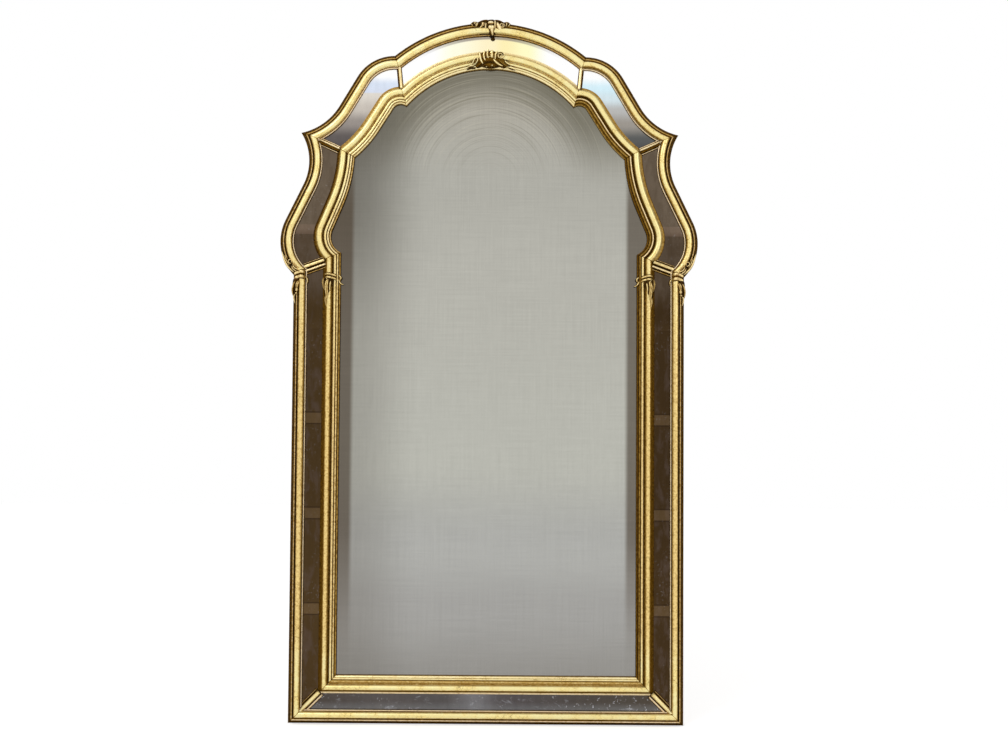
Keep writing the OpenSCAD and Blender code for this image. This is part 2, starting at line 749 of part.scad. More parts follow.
// Strap hanger: a plate screwed to the base frame with an eye rolled at its upper end.
// The ring's axis stands off the base frame by eye_h.
eye_h = strap_t + ring_wire_r + 0.5;
eye_r = ring_wire_r + ring_clear + strap_t;
hanger_z = frame_height - hanger_drop;
module hanger_strap(left) {
    color(brass) upright() flip(left) difference() {
        union() {
            translate([hanger_x - strap_w / 2, hanger_z - strap_l + strap_w / 2, base_back - strap_t])
                cube([strap_w, strap_l - strap_w / 2, strap_t]);
            translate([hanger_x, hanger_z - strap_l + strap_w / 2, base_back - strap_t])
                cylinder(h = strap_t, r = strap_w / 2);
            translate([hanger_x - strap_w / 2, hanger_z, base_back - eye_h]) rotate([0, 90, 0])
                cylinder(h = strap_w, r = eye_r);
        }
        translate([hanger_x - strap_w, hanger_z, base_back - eye_h]) rotate([0, 90, 0])
            cylinder(h = 2 * strap_w, r = ring_wire_r + ring_clear);
        screw_holes(strap_screws, screw_r + seat_gap, base_back - strap_t - cut_over, base_back + cut_over);
    }
}

module wire_bend(r, angle) {
    rotate_extrude(angle = angle) translate([r, 0]) circle(ring_wire_r, $fn = 32);
}

// Ring with a straight bar through the eye and a round bow that hangs below it
module hanger_ring(left) {
    bar = ring_r - ring_bend_r;
    color(brass) upright() flip(left) translate([hanger_x, hanger_z, base_back - eye_h]) {
        translate([-bar, 0, 0]) rotate([0, 90, 0]) cylinder(h = 2 * bar, r = ring_wire_r, $fn = 32);
        translate([bar, -ring_bend_r, 0]) wire_bend(ring_bend_r, 90);
        translate([-bar, -ring_bend_r, 0]) rotate([0, 0, 90]) wire_bend(ring_bend_r, 90);
        translate([0, -ring_bend_r, 0]) rotate([0, 0, 180]) wire_bend(ring_r, 180);
    }
}

module hanger_screws() {
    color(brass) upright() for (p = both_x(strap_screws))
        translate([p[0], p[1], 0]) screw(base_back - strap_t, hanger_screw_l + strap_t);
}

// Pads at the lower corners and behind the shoulders that stand off the wall
module wall_bumpers() {
    mid_u = outer_w + border_w / 2;
    shoulder = (shoulder_start(mid_u) + shoulder_end(mid_u)) / 2;
    color(felt) upright() for (p = both_x([corner_at(mid_u), shoulder]))
        translate([p[0], p[1], 0]) cylinder(h = bumper_t, r = bumper_r);
}

// A tapering petal from the origin along an angle, with a round tip
module petal(length, base_w, tip_r, angle) {
    neck = length - tip_r;
    rotate(angle) {
        polygon([[0, -base_w / 2], [neck, -0.7 * tip_r], [neck, 0.7 * tip_r], [0, base_w / 2]]);
        translate([neck, 0]) circle(tip_r);
    }
}

// Carving on the outer arch: a row of leaf lobes along the edge and a pendant tip
module crest_carving() {
    lobe_step = 9.5;
    color(gilt_dark) upright() translate([0, 0, base_front]) difference() {
        union() {
            translate([0, 0, lip_z]) linear_extrude(carving_h - 5 - lip_z) translate(crest_c)
                for (i = [-4:4])
                    rotate(90 + i * lobe_step / crest_radius * 180 / PI)
                        translate([crest_radius - leaf_inset, 0]) circle(crest_lobe_r - 0.9 * abs(i));
            translate([0, 0, lip_z]) linear_extrude(carving_h - lip_z) translate([0, frame_height])
                petal(outer_w - 2, 15, 3.6, -90);
        }
        outer_crest_run() outer_seat();
    }
}

// Palmette on the inner arch: nine petals that fan out from a round foot
module palmette_carving() {
    fan = 20;
    foot_r = 7;
    color(gilt_dark) upright() translate([0, 0, base_front]) difference() {
        translate([0, 0, lip_z]) linear_extrude(inner_carving_h - lip_z)
            translate([0, inner_top - palmette_petal_l - 2]) {
                circle(foot_r);
                for (i = [-4:4])
                    petal(palmette_petal_l + 1.6 * abs(i), 6, 4.4, 90 + i * fan);
            }
        inner_crest_run() inner_seat();
    }
}

// A collar across a moulding and a leaf of shrinking lobes that hangs below it
module collar_and_leaf(leaf_x, collar_x, width, lobes, step) {
    z = waist[1] + 2 - collar_l / 2;
    translate([collar_x - width, z]) square([width, collar_l]);
    for (i = [0:len(lobes) - 1])
        translate([leaf_x - lobes[i], z - i * step]) circle(lobes[i]);
}

// Carving over the outer waist joint, with a scroll up the lobe's edge. Its back fits the
// two mouldings and is relieved over the mitre where they meet.
module outer_leaf(left) {
    reach = 80;
    relief_gap = 1;
    round_off = bearing(waist - lobe_c[1]) + 1;
    color(gilt_dark) upright() translate([0, 0, base_front]) flip(left) difference() {
        difference() {
            translate([0, 0, lip_z]) linear_extrude(carving_h - 4 - lip_z) {
                collar_and_leaf(half_span - leaf_inset, half_span - collar_inset, outer_w - collar_inset - 1,
                    [9, 8.5, 7.5, 6, 4.5], 9);
                for (turn = [16, 24, 33, 42])
                    translate(lobe_c[1] + (lobe_round - 5 - turn / 9) * unit(-turn)) circle(5 + turn / 9);
            }
            arc_run(lobe_c[1], lobe_round, -90, heading_at(lobe_c[1], waist, -1), -1) outer_seat();
        }
        straight_run([half_span, waist_at(outer_w)[1]], [half_span, waist[1] - reach]) outer_seat();
        translate([0, 0, lip_z - cut_over])
            linear_extrude(outer_torus_v + outer_torus_r + relief_gap - lip_z + cut_over)
                polygon([
                    lobe_c[1] + (lobe_round + cut_over) * unit(round_off),
                    lobe_c[1] + (lobe_round - outer_w) * unit(round_off),
                    waist_at(outer_w) - [cut_over, cut_over],
                    waist - [0, cut_over]]);
    }
}

// Carving on the inner stile below the waist
module inner_leaf(left) {
    color(gilt_dark) upright() translate([0, 0, base_front]) flip(left) difference() {
        translate([0, 0, lip_z]) linear_extrude(inner_carving_h - lip_z)
            collar_and_leaf(inner_half_span - 2 * leaf_inset, inner_half_span - collar_inset,
                inner_w - collar_inset - 2, [8, 8, 7, 5.5, 4], 9);
        inner_stile_run() inner_seat();
    }
}

module upright_flip(left) {
    color(pine) upright() flip(left) children();
}

// Stands the frame up, facing the front, with the middle of its depth on the origin
module upright() {
    translate([0, overall_depth / 2, 0]) rotate([90, 0, 0]) children();
}

outer_crest_moulding();
outer_shoulder_moulding(true);  // outer_shoulder_moulding_left
outer_shoulder_moulding(false);  // outer_shoulder_moulding_right
outer_lobe_moulding(true);  // outer_lobe_moulding_left
outer_lobe_moulding(false);  // outer_lobe_moulding_right
outer_stile_moulding(true);  // outer_stile_moulding_left
outer_stile_moulding(false);  // outer_stile_moulding_right
outer_bottom_moulding();
inner_crest_moulding();
inner_shoulder_moulding(true);  // inner_shoulder_moulding_left
inner_shoulder_moulding(false);  // inner_shoulder_moulding_right
inner_lobe_moulding(true);  // inner_lobe_moulding_left
inner_lobe_moulding(false);  // inner_lobe_moulding_right
inner_stile_moulding(true);  // inner_stile_moulding_left
inner_stile_moulding(false);  // inner_stile_moulding_right
inner_bottom_moulding();
divider(0, true);  // notch_divider_left
divider(0, false);  // notch_divider_right
divider(1, true);  // ear_divider_left
divider(1, false);  // ear_divider_right
divider(2, true);  // waist_divider_left
divider(2, false);  // waist_divider_right
divider(3, true);  // corner_divider_left
divider(3, false);  // corner_divider_right
centre_plate();
middle_plate(0, silvering);  // crest_plate
border_plate(0, 1, true, silvering);  // shoulder_plate_left
border_plate(0, 1, false, silvering);  // shoulder_plate_right
border_plate(1, 2, true, aged_silvering);  // lobe_plate_left
border_plate(1, 2, false, aged_silvering);  // lobe_plate_right
border_plate(2, 3, true, aged_silvering);  // side_plate_left
border_plate(2, 3, false, aged_silvering);  // side_plate_right
middle_plate(3, aged_silvering);  // bottom_plate
base_crest();
base_shoulder(true);  // base_shoulder_left
base_shoulder(false);  // base_shoulder_right
base_lobe(true);  // base_lobe_left
base_lobe(false);  // base_lobe_right
base_stile(true);  // base_stile_left
base_stile(false);  // base_stile_right
base_bottom_rail();
crest_carving();
palmette_carving();
outer_leaf(true);  // outer_leaf_left
outer_leaf(false);  // outer_leaf_right
inner_leaf(true);  // inner_leaf_left
inner_leaf(false);  // inner_leaf_right
backboard_upper();
backboard_middle();
backboard_lower();
plate_blocks();
backboard_screws();
hanger_strap(true);  // hanger_strap_left
hanger_strap(false);  // hanger_strap_right
hanger_ring(true);  // hanger_ring_left
hanger_ring(false);  // hanger_ring_right
hanger_screws();
wall_bumpers();
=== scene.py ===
import math

import bpy
import numpy as np
from mathutils import Matrix


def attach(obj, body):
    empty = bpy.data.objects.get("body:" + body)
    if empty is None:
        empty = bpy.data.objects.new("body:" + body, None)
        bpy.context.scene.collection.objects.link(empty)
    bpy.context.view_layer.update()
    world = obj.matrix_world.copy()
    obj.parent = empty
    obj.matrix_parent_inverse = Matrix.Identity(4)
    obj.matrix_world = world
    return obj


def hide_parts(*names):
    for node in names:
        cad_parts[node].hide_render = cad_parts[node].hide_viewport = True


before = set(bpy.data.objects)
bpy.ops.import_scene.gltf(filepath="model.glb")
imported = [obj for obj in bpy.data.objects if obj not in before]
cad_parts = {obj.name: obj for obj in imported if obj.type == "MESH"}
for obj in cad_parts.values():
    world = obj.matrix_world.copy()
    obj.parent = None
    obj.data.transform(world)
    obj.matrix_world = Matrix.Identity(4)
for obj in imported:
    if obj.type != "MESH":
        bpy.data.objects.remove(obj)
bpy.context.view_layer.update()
print("frame loaded:", len(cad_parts), "nodes")

mm = 0.001
flipX = np.array([-1, 1])
bothSides = (("left", True), ("right", False))

# The frame's outlines in millimetres, as they are in the CAD model; each lies inset from the frame's edges
frameSize = {"span": 773, "height": 1386}
outerShape = {
    "inset": 0, "crestRadius": 302, "notchSpan": 381, "shoulderRound": 86,
    "earDrop": 223.5, "earInset": 11.5, "earSlope": 12.4, "earTopRound": 117, "lowSlope": 31.9,
    "earLowRound": 107, "lobeDrop": 507.6, "lobeSwell": 0, "lobeSlope": 44.1, "lobeRound": 97,
    "width": 27,
}
innerShape = {
    "inset": 58, "crestRadius": 257, "notchSpan": 356, "shoulderRound": 52.3,
    "earDrop": 197, "earInset": 25.5, "earSlope": 36, "earTopRound": 204, "lowSlope": 0,
    "earLowRound": 264, "lobeDrop": 373, "lobeSwell": 20.1, "lobeSlope": 0, "lobeRound": 70,
    "width": 35,
}
frontFace = 0.5  # Y of the base frame's front in millimetres; a height v above it lies at Y = 0.5 - v


# Plan geometry: directions in degrees, X to the right and Y up the mirror

def unit(a):
    return np.stack([np.cos(np.radians(a)), np.sin(np.radians(a))], -1)


def leftOf(a):
    return np.stack([-np.sin(np.radians(a)), np.cos(np.radians(a))], -1)


def bearing(v):
    return math.degrees(math.atan2(v[1], v[0]))


def near(a, b):
    # angle a turned by whole turns until it is within half a turn of b
    return (a - b + 180) % 360 - 180 + b


def nearest(points, target):
    return min(points, key=lambda p: np.linalg.norm(p - target))


def circlesMeet(c, r, e, s, target):
    # the crossing of two circles that lies nearer to the target
    c, e, target = np.array(c, float), np.array(e, float), np.array(target, float)
    gap = np.linalg.norm(e - c)
    reach = (gap * gap + r * r - s * s) / (2 * gap)
    rise = math.sqrt(max(0, r * r - reach * reach))
    a = bearing(e - c)
    return nearest([c + reach * unit(a) + k * rise * leftOf(a) for k in (1, -1)], target)


def lineMeetsCircle(a, b, c, r, target):
    # the crossing of the line a-b and a circle that lies nearer to the target
    d = (b - a) / np.linalg.norm(b - a)
    middle = a + d * np.dot(c - a, d)
    half = math.sqrt(max(0, r * r - np.sum((middle - c) ** 2)))
    return nearest((middle + d * half, middle - d * half), target)


def sweepPath(p, a, r, q, b, s, turn):
    # an arc from p at heading a, its straight tangent, and an arc the other way to q at heading b
    c = [np.array(p, float) + turn * r * leftOf(a), np.array(q, float) - turn * s * leftOf(b)]
    h = bearing(c[1] - c[0]) + turn * math.degrees(math.asin((r + s) / np.linalg.norm(c[1] - c[0])))
    return {"kind": "sweep", "c": c, "r": (r, s), "turn": turn, "heading": h}


def outlineCorners(shape):
    # each length of an outline's right half: its path and the mitre lines at its two ends
    half, top = frameSize["span"] / 2 - shape["inset"], frameSize["height"] - shape["inset"]
    crestR, notchX = shape["crestRadius"], shape["notchSpan"] / 2
    crest = np.array([0, top - crestR])
    notch = np.array([notchX, crest[1] + math.sqrt(crestR ** 2 - notchX ** 2)])
    ear = np.array([half - shape["earInset"], top - shape["earDrop"]])
    foot = np.array([half + shape["lobeSwell"], top - shape["lobeDrop"]])
    shoulder = sweepPath(notch, 0, shape["shoulderRound"], ear, -shape["earSlope"], shape["earTopRound"], -1)
    lobe = sweepPath(ear, -90 - shape["lowSlope"], shape["earLowRound"],
                     foot, -90 - shape["lobeSlope"], shape["lobeRound"], 1)

    def notchAt(u):
        return circlesMeet(crest, crestR - u, shoulder["c"][0], shape["shoulderRound"] - u, notch)

    def earAt(u):
        return circlesMeet(shoulder["c"][1], shape["earTopRound"] + u,
                           lobe["c"][0], shape["earLowRound"] + u, ear)

    def waistAt(u):
        x, c = half - u, lobe["c"][1]
        return np.array([x, c[1] - math.sqrt((shape["lobeRound"] - u) ** 2 - (x - c[0]) ** 2)])

    def cornerAt(u):
        return np.array([half - u, shape["inset"] + u])

    notches, ears, waists, corners = (
        (at(0), at(shape["width"])) for at in (notchAt, earAt, waistAt, cornerAt))
    arch = {"kind": "arc", "c": [crest], "r": (crestR,), "turn": -1}
    return {
        "crest": (arch, [m * flipX for m in notches], notches),
        "shoulder": (shoulder, notches, ears),
        "lobe": (lobe, ears, waists),
        "stile": ({"kind": "line"}, waists, corners),
        "bottom": ({"kind": "line"}, corners, [m * flipX for m in corners]),
    }


def arcPoints(c, r, turn, start, end, count):
    # point = c - turn * r * left of the heading, for headings from start to end
    return c - turn * r * leftOf(np.linspace(start, end, count))


def pathAt(plan, u, width):
    # the path moved inwards by u, from one mitre line to the other, as an array of points
    arcCount, lineCount = 26, 9
    path, mitreA, mitreB = plan
    a = mitreA[0] + (mitreA[1] - mitreA[0]) * u / width
    b = mitreB[0] + (mitreB[1] - mitreB[0]) * u / width
    if path["kind"] == "line":
        return a + (b - a) * np.linspace(0, 1, lineCount)[:, None]
    turn, c = path["turn"], path["c"]
    r = path["r"][0] + turn * u
    start = lineMeetsCircle(mitreA[0], mitreA[1], c[0], r, a)
    h0 = bearing(start - c[0]) + 90 * turn
    if path["kind"] == "arc":
        # a point every 7 mm or so, and as many on every other line of the moulding
        end = lineMeetsCircle(mitreB[0], mitreB[1], c[0], r, b)
        h1 = bearing(end - c[0]) + 90 * turn
        count = int(path["r"][0] * math.radians(abs(near(h1, h0) - h0)) / 7) // 2 * 2 + 3
        return arcPoints(c[0], r, turn, near(h0, 0), near(h1, 0), path.setdefault("count", count))
    h = path["heading"]
    s = path["r"][1] - turn * u
    end = lineMeetsCircle(mitreB[0], mitreB[1], c[1], s, b)
    h1 = bearing(end - c[1]) - 90 * turn
    first = arcPoints(c[0], r, turn, near(h0, h), h, arcCount)
    second = arcPoints(c[1], s, -turn, h, near(h1, h), arcCount)
    between = first[-1] + (second[0] - first[-1]) * np.linspace(0, 1, 6)[1:-1, None]
    return np.concatenate([first, between, second])


# Meshes

def tubeFaces(rows, cols):
    # quads of a rows x cols grid whose last column joins the first, and one face over each end
    i, j = np.meshgrid(np.arange(rows - 1), np.arange(cols), indexing="ij")
    k = (j + 1) % cols
    quads = np.stack([i * cols + j, i * cols + k, (i + 1) * cols + k, (i + 1) * cols + j], -1)
    last = (rows - 1) * cols
    return quads.reshape(-1, 4).tolist() + [list(range(cols)), list(range(last + cols - 1, last - 1, -1))]


def plant(plan, v):
    # plan points (x, y) at heights v above the base frame, as places in the row frame in metres
    x, y = plan[..., 0], plan[..., 1]
    return np.stack([x, frontFace - v + 0 * x, y], -1) * mm


def signedVolume(mesh):
    # the sum over triangles of a . (b x c) / 6
    mesh.calc_loop_triangles()
    tris = np.empty(len(mesh.loop_triangles) * 3, np.int32)
    mesh.loop_triangles.foreach_get("vertices", tris)
    co = np.empty(len(mesh.vertices) * 3, np.float32)
    mesh.vertices.foreach_get("co", co)
    a, b, c = np.moveaxis(co.reshape(-1, 3)[tris.reshape(-1, 3)], 1, 0)
    return float(np.einsum("ij,ij->i", a, np.cross(b, c)).sum() / 6)


def addObject(name, data):
    obj = bpy.data.objects.new(name, data)
    bpy.context.scene.collection.objects.link(obj)
    return obj


def dressNode(node, ending, verts, faces, material, shadeAndDirt, cream):
    # a smooth mesh that faces outwards and stands in place of a CAD node; its first attribute carries the
    # painted shade, with any dark mitre lines, and its second the cream
    mesh = bpy.data.meshes.new(node + ending)
    mesh.from_pydata(verts.reshape(-1, 3).tolist(), [], faces)
    for key, values in (("shadeAndDirt", shadeAndDirt), ("cream", cream)):
        values = np.broadcast_to(values, verts.shape[:-1]).ravel().astype(np.float32)
        mesh.attributes.new(key, "FLOAT", "POINT").data.foreach_set("value", values)
    mesh.update()
    if signedVolume(mesh) < 0:
        mesh.flip_normals()
    mesh.shade_smooth()
    mesh.materials.append(material)
    obj = addObject(node + ending, mesh)
    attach(obj, "frame")
    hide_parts(node)


print("geometry tools ready")


# Node trees

def put(kind, inputs, **settings):
    # a node in the tree that its linked inputs belong to
    linked = {key: value for key, value in inputs.items() if isinstance(value, bpy.types.NodeSocket)}
    tree = next(iter(linked.values())).id_data
    node = tree.nodes.new(kind)
    for key, value in settings.items():
        setattr(node, key, value)
    for key, value in inputs.items():
        if key in linked:
            tree.links.new(value, node.inputs[key])
        else:
            node.inputs[key].default_value = value
    return node


def maths(operation, a, b=0.0, c=0.0, clamp=False):
    return put("ShaderNodeMath", {0: a, 1: b, 2: c}, operation=operation, use_clamp=clamp).outputs[0]


def plus(a, b):
    return maths("ADD", a, b)


def times(a, b):
    return maths("MULTIPLY", a, b)


def scaled(value, factor, offset, clamp=False):
    # value * factor + offset
    return maths("MULTIPLY_ADD", value, factor, offset, clamp)


def ramp(value, low, high):
    # 0 at low, 1 at high, smooth between
    return put("ShaderNodeMapRange", {"Value": value, "From Min": low, "From Max": high},
               interpolation_type="SMOOTHSTEP").outputs[0]


def noise(place, scale, detail=4.0, rough=0.55, distortion=0.0):
    return put("ShaderNodeTexNoise", {"Vector": place, "Scale": scale, "Detail": detail, "Roughness": rough,
                                      "Distortion": distortion}).outputs[0]


def stretched(place, scale, detail, rough, distortion=0.0):
    # noise with a scale of its own along each axis
    wide = put("ShaderNodeMapping", {"Vector": place, "Scale": scale}).outputs[0]
    return noise(wide, 1.0, detail, rough, distortion)


def axes(place):
    return put("ShaderNodeSeparateXYZ", {0: place}).outputs


def rgb(r, g, b):
    # a colour given as it shows on a screen, 0 to 255, turned to linear light
    return *(((v / 255 + 0.055) / 1.055) ** 2.4 if v > 10 else v / 255 / 12.92 for v in (r, g, b)), 1.0


def mixColour(factor, a, b, blend="MIX"):
    return put("ShaderNodeMix", {0: factor, 6: a, 7: b}, data_type="RGBA", blend_type=blend).outputs[2]


def mask(*ramps):
    # the product of smooth ramps, each (value, low, high)
    product = ramp(*ramps[0])
    for more in ramps[1:]:
        product = times(product, ramp(*more))
    return product


def tint(tone, colour, strength, *ramps):
    # the tone turned towards a screen colour, by as much as strength * mask of the ramps
    return mixColour(times(mask(*ramps), strength), tone, rgb(*colour))


def bumpOf(height, strength, distance):
    # distance in metres
    return put("ShaderNodeBump", {"Strength": strength, "Distance": distance, "Height": height}).outputs[0]


def newGroup(name, inputs, outputs):
    tree = bpy.data.node_groups.new(name, "ShaderNodeTree")
    for label, kind, value in inputs:
        socket = tree.interface.new_socket(label, in_out="INPUT", socket_type="NodeSocket" + kind)
        if value is not None:
            socket.default_value = value
    for label, kind in outputs:
        tree.interface.new_socket(label, in_out="OUTPUT", socket_type="NodeSocket" + kind)
    entry = tree.nodes.new("NodeGroupInput")
    leave = tree.nodes.new("NodeGroupOutput")
    return tree, entry.outputs, leave.inputs


def newMaterial(name):
    material = bpy.data.materials.new(name)
    material.use_nodes = True
    tree = material.node_tree
    tree.nodes.clear()
    place = tree.nodes.new("ShaderNodeTexCoord").outputs["Object"]
    shader = tree.nodes.new("ShaderNodeBsdfPrincipled")
    out = tree.nodes.new("ShaderNodeOutputMaterial")
    tree.links.new(shader.outputs[0], out.inputs[0])
    return material, place, shader.inputs


def useGroup(group, inputs):
    return put("ShaderNodeGroup", inputs, node_tree=group).outputs


def wire(sockets, links):
    for key, value in links.items():
        value.id_data.links.new(value, sockets[key])


def surface(shader, look, strength, distance, **fixed):
    # a material's colour, roughness and bump from sockets with those names
    wire(shader, {"Base Color": look["Colour"], "Roughness": look["Roughness"],
                  "Normal": bumpOf(look["Height"], strength, distance)})
    for key, value in fixed.items():
        shader[key].default_value = value


# Gilding: pale gold leaf, deeper down the stiles, cream on the small members, with painted shade that turns
# it amber on the flanks and dark brown in the hollows
gilding = {
    "bright": rgb(255, 243, 178), "deep": rgb(255, 231, 150), "low": rgb(247, 214, 136),
    "cream": rgb(252, 228, 186), "amber": rgb(190, 150, 68), "olive": rgb(104, 70, 4),
    "dark": rgb(48, 28, 2), "clay": rgb(150, 92, 40), "mottle": rgb(196, 180, 152),
    "wear": 0.63, "carvedWear": 0.6, "dividerWear": 0.61, "roughness": 0.32, "metal": 0.5,
}


def buildGilding():
    tree, given, out = newGroup(
        "old gilding",
        [("Place", "Vector", None), ("ShadeAndDirt", "Float", 0.0), ("Cream", "Float", 0.0),
         ("Wear", "Float", gilding["wear"])],
        [("Colour", "Color"), ("Metal", "Float"), ("Roughness", "Float"), ("ShadeSpecular", "Float"),
         ("Height", "Float")])
    place, wear = given["Place"], given["Wear"]
    broad = noise(place, 38, 5, 0.6)
    fine = noise(place, 240, 6, 0.65, 0.4)
    speck = noise(place, 900, 3, 0.6)
    z = axes(place)[2]
    stile = mask((z, 1.15, 0.6), (z, 0.09, 0.2))
    # the painted shade of the hollows and flanks, plus fine random speckle
    shadeAndGrime = plus(given["ShadeAndDirt"], scaled(fine, 0.56, -0.28))
    rubbed = plus(times(broad, 0.45), times(fine, 0.55))
    rubbed = ramp(rubbed, wear, plus(wear, 0.05))
    crack = put("ShaderNodeTexVoronoi", {"Vector": place, "Scale": 130.0},
                feature="DISTANCE_TO_EDGE").outputs[0]
    chips = mask((crack, 0.05, 0.0), (broad, 0.5, 0.62))
    gold = mixColour(ramp(broad, 0.35, 0.7), gilding["bright"], gilding["deep"])
    # amber, olive and dark brown follow the painted shade; clay, chips and specks are wear
    for share, colour in (
            (times(stile, 0.9), "low"), (given["Cream"], "cream"),
            (ramp(shadeAndGrime, 0.1, 0.42), "amber"), (ramp(shadeAndGrime, 0.36, 0.68), "olive"),
            (ramp(shadeAndGrime, 0.68, 1.0), "dark"), (rubbed, "clay"), (times(chips, 0.6), "olive"),
            (times(ramp(speck, 0.56, 0.68), 0.5), "amber")):
        gold = mixColour(share, gold, gilding[colour])
    mottle = times(ramp(fine, 0.46, 0.62), scaled(stile, 0.5, 0.04))
    # metal falls and roughness rises where the gold is rubbed and where painted shade lies
    wearAndShade = maths("MAXIMUM", rubbed, ramp(shadeAndGrime, 0.1, 0.6))
    rough = scaled(wearAndShade, 0.3, scaled(fine, 0.25, gilding["roughness"] - 0.1), True)
    # the specular level falls where painted shade lies
    wire(out, {
        "Colour": mixColour(mottle, gold, gilding["mottle"], "MULTIPLY"),
        "ShadeSpecular": scaled(ramp(shadeAndGrime, 0.15, 0.6), -0.46, 0.5),
        "Metal": scaled(wearAndShade, -gilding["metal"], gilding["metal"], True), "Roughness": rough,
        "Height": plus(times(fine, 0.6), plus(times(speck, 0.2), times(wearAndShade, -0.5)))})
    return tree


gildingGroup = buildGilding()


def attributeOf(material, name):
    node = material.node_tree.nodes.new("ShaderNodeAttribute")
    node.attribute_name = name
    return node.outputs["Fac"]


def gildedMaterial(name, wear):
    # the piece's attributes say where painted shade darkens it, in its hollows and on its flanks, and where
    # the gold turns to cream
    material, place, shader = newMaterial(name)
    leaf = useGroup(gildingGroup, {"Place": place, "ShadeAndDirt": attributeOf(material, "shadeAndDirt"),
                                   "Cream": attributeOf(material, "cream"), "Wear": wear})
    surface(shader, leaf, 0.35, 0.0006)
    # metal and specular level fall where painted shade lies
    wire(shader, {"Metallic": leaf["Metal"], "Specular IOR Level": leaf["ShadeSpecular"]})
    return material


mouldingGilt = gildedMaterial("moulding gilt", gilding["wear"])
carvedGilt = gildedMaterial("carved gilt", gilding["carvedWear"])
dividerGilt = gildedMaterial("divider gilt", gilding["dividerWear"])
print("gilding ready")


# Moulding profiles: u inwards from the outer edge, v up from the base frame, the painted shade mask of the
# hollows and flanks, and the cream mask. The circles of the larger members are (centre, radius)
outerTorus = ((18.3, 13.4), 5.9)
innerTorus = ((12.8, 12.2), 5.4)
largeBead = ((24.3, 10.0), 2.3)
sightBead = ((29.4, 8.7), 1.8)


def arcOf(c, r, a, b, count, shadeA, shadeB, cream=0.0):
    # an arc of the profile whose painted shade goes from the first value to the second
    t = np.linspace(0, 1, count)
    p = np.array(c) + r * unit(a + (b - a) * t)
    return np.column_stack([p, shadeA + (shadeB - shadeA) * t, np.full(count, cream)])


def angleTo(c, p):
    return bearing(np.array(p) - np.array(c))


def outerProfile():
    torus, cove, bead = outerTorus, ((25.4, 12.6), 5.0), ((25.6, 6.9), 1.4)
    a = circlesMeet(*torus, *cove, (22, 8.6))
    b = circlesMeet(*cove, *bead, (24.4, 7.6))
    return np.concatenate([
        [[0, 0, 1, 0], [0, 3, 0.9, 0]],
        arcOf((-2.0, 11.6), 8.6, -76, 4, 10, 0.85, 1.0),
        [[6.8, 12.5, 0.6, 1], [7.3, 12.55, 0.34, 1], [8.6, 12.55, 0.3, 1], [9.1, 12.5, 0.6, 1]],
        arcOf((11.4, 13), 2.3, 196, 306, 8, 1, 1),
        arcOf(*torus, 204, 156, 6, 0.9, 0.6),
        arcOf(*torus, 150, 112, 6, 0.5, 0.06),
        arcOf(*torus, 105, 62, 6, 0, 0),
        arcOf(*torus, 54, 20, 6, 0.12, 0.45),
        arcOf(*torus, 12, angleTo(torus[0], a), 4, 0.5, 0.7),
        arcOf(*cove, 360 + angleTo(cove[0], a), 360 + angleTo(cove[0], b), 5, 0.85, 1),
        arcOf(*bead, 170, 120, 3, 0.6, 0.0, 1.0),
        arcOf(*bead, 110, -20, 6, 0, 0, 1.0),
        [[26.9, 5.6, 0.7, 0], [26.7, 3.6, 1, 0], [20.5, 3.6, 1, 0], [20.5, 0, 1, 0]],
    ])


def innerProfile():
    hollow, torus, groove = ((-2.0, 13.9), 10.5), innerTorus, ((19.9, 9.8), 2.4)
    a = circlesMeet(*hollow, *torus, (7.6, 9.6))
    b = circlesMeet(*torus, *groove, (17.6, 9.6))
    return np.concatenate([
        [[6.5, 0, 1, 0], [6.5, 3.6, 1, 0], [0, 3.6, 0.5, 0]],
        arcOf(*hollow, -78.9, angleTo(hollow[0], a), 8, 0.75, 0.8),
        arcOf(*torus, angleTo(torus[0], a) % 360, 156, 5, 0.8, 0.7),
        arcOf(*torus, 150, 104, 7, 0.72, 0.1),
        arcOf(*torus, 98, 34, 8, 0, 0),
        arcOf(*torus, 26, angleTo(torus[0], b), 6, 0.15, 0.55),
        arcOf(*groove, angleTo(groove[0], b) % 360, 328, 9, 0.55, 0.7),
        arcOf(*largeBead, 208, 150, 5, 0.9, 0.2, 0.15),
        arcOf(*largeBead, 142, 48, 9, 0.06, 0.06, 0.15),
        arcOf(*largeBead, 40, -36, 5, 0.2, 1, 0.15),
        arcOf(*sightBead, 199.5, 150, 4, 1, 0.25, 0.4),
        arcOf(*sightBead, 140, 48, 6, 0.1, 0.1, 0.4),
        arcOf(*sightBead, 38, -25, 4, 0.25, 1, 0.4),
        [[31.9, 7.9, 0.95, 0], [32.7, 7.5, 0.5, 0.4], [33.4, 7.1, 0.3, 0.6], [34.4, 6.5, 0.34, 0.5],
         [35, 6, 0.6, 0], [35, 0, 0.9, 0]],
    ])


# Rows of the two profiles by what they draw
outerRows = {
    "fillet": slice(12, 16), "groove": slice(16, 24), "torus": slice(24, 52), "farFlank": slice(39, 52),
    "torusAndCove": slice(24, 56), "filletToCove": slice(12, 56), "bead": slice(57, 66),
}
innerRows = {
    "edge": slice(2, 6), "edgeAndHollow": slice(2, 16), "hollowFace": slice(3, 16),
    "hollowRise": slice(4, 16), "hollow": slice(6, 16), "torus": slice(11, 37),
    "fromTorus": slice(16, None), "nearFlank": slice(16, 23),
    "farFlank": slice(31, 37), "flankAndGroove": slice(31, 46), "groove": slice(37, 46),
    "bead": slice(46, 65), "beadOutside": slice(46, 62), "beadCrown": slice(54, 58),
    "besideGlass": slice(65, 83), "sightFillet": slice(79, 83),
}
# painted shade on the tori: how far it darkens each one down its flanks
torusShade = {"lobe": 0.14, "stile": 0.48}  # how far the torus darkens down its flanks


def fade(values, first, last):
    values[:] = np.linspace(first, last, len(values))


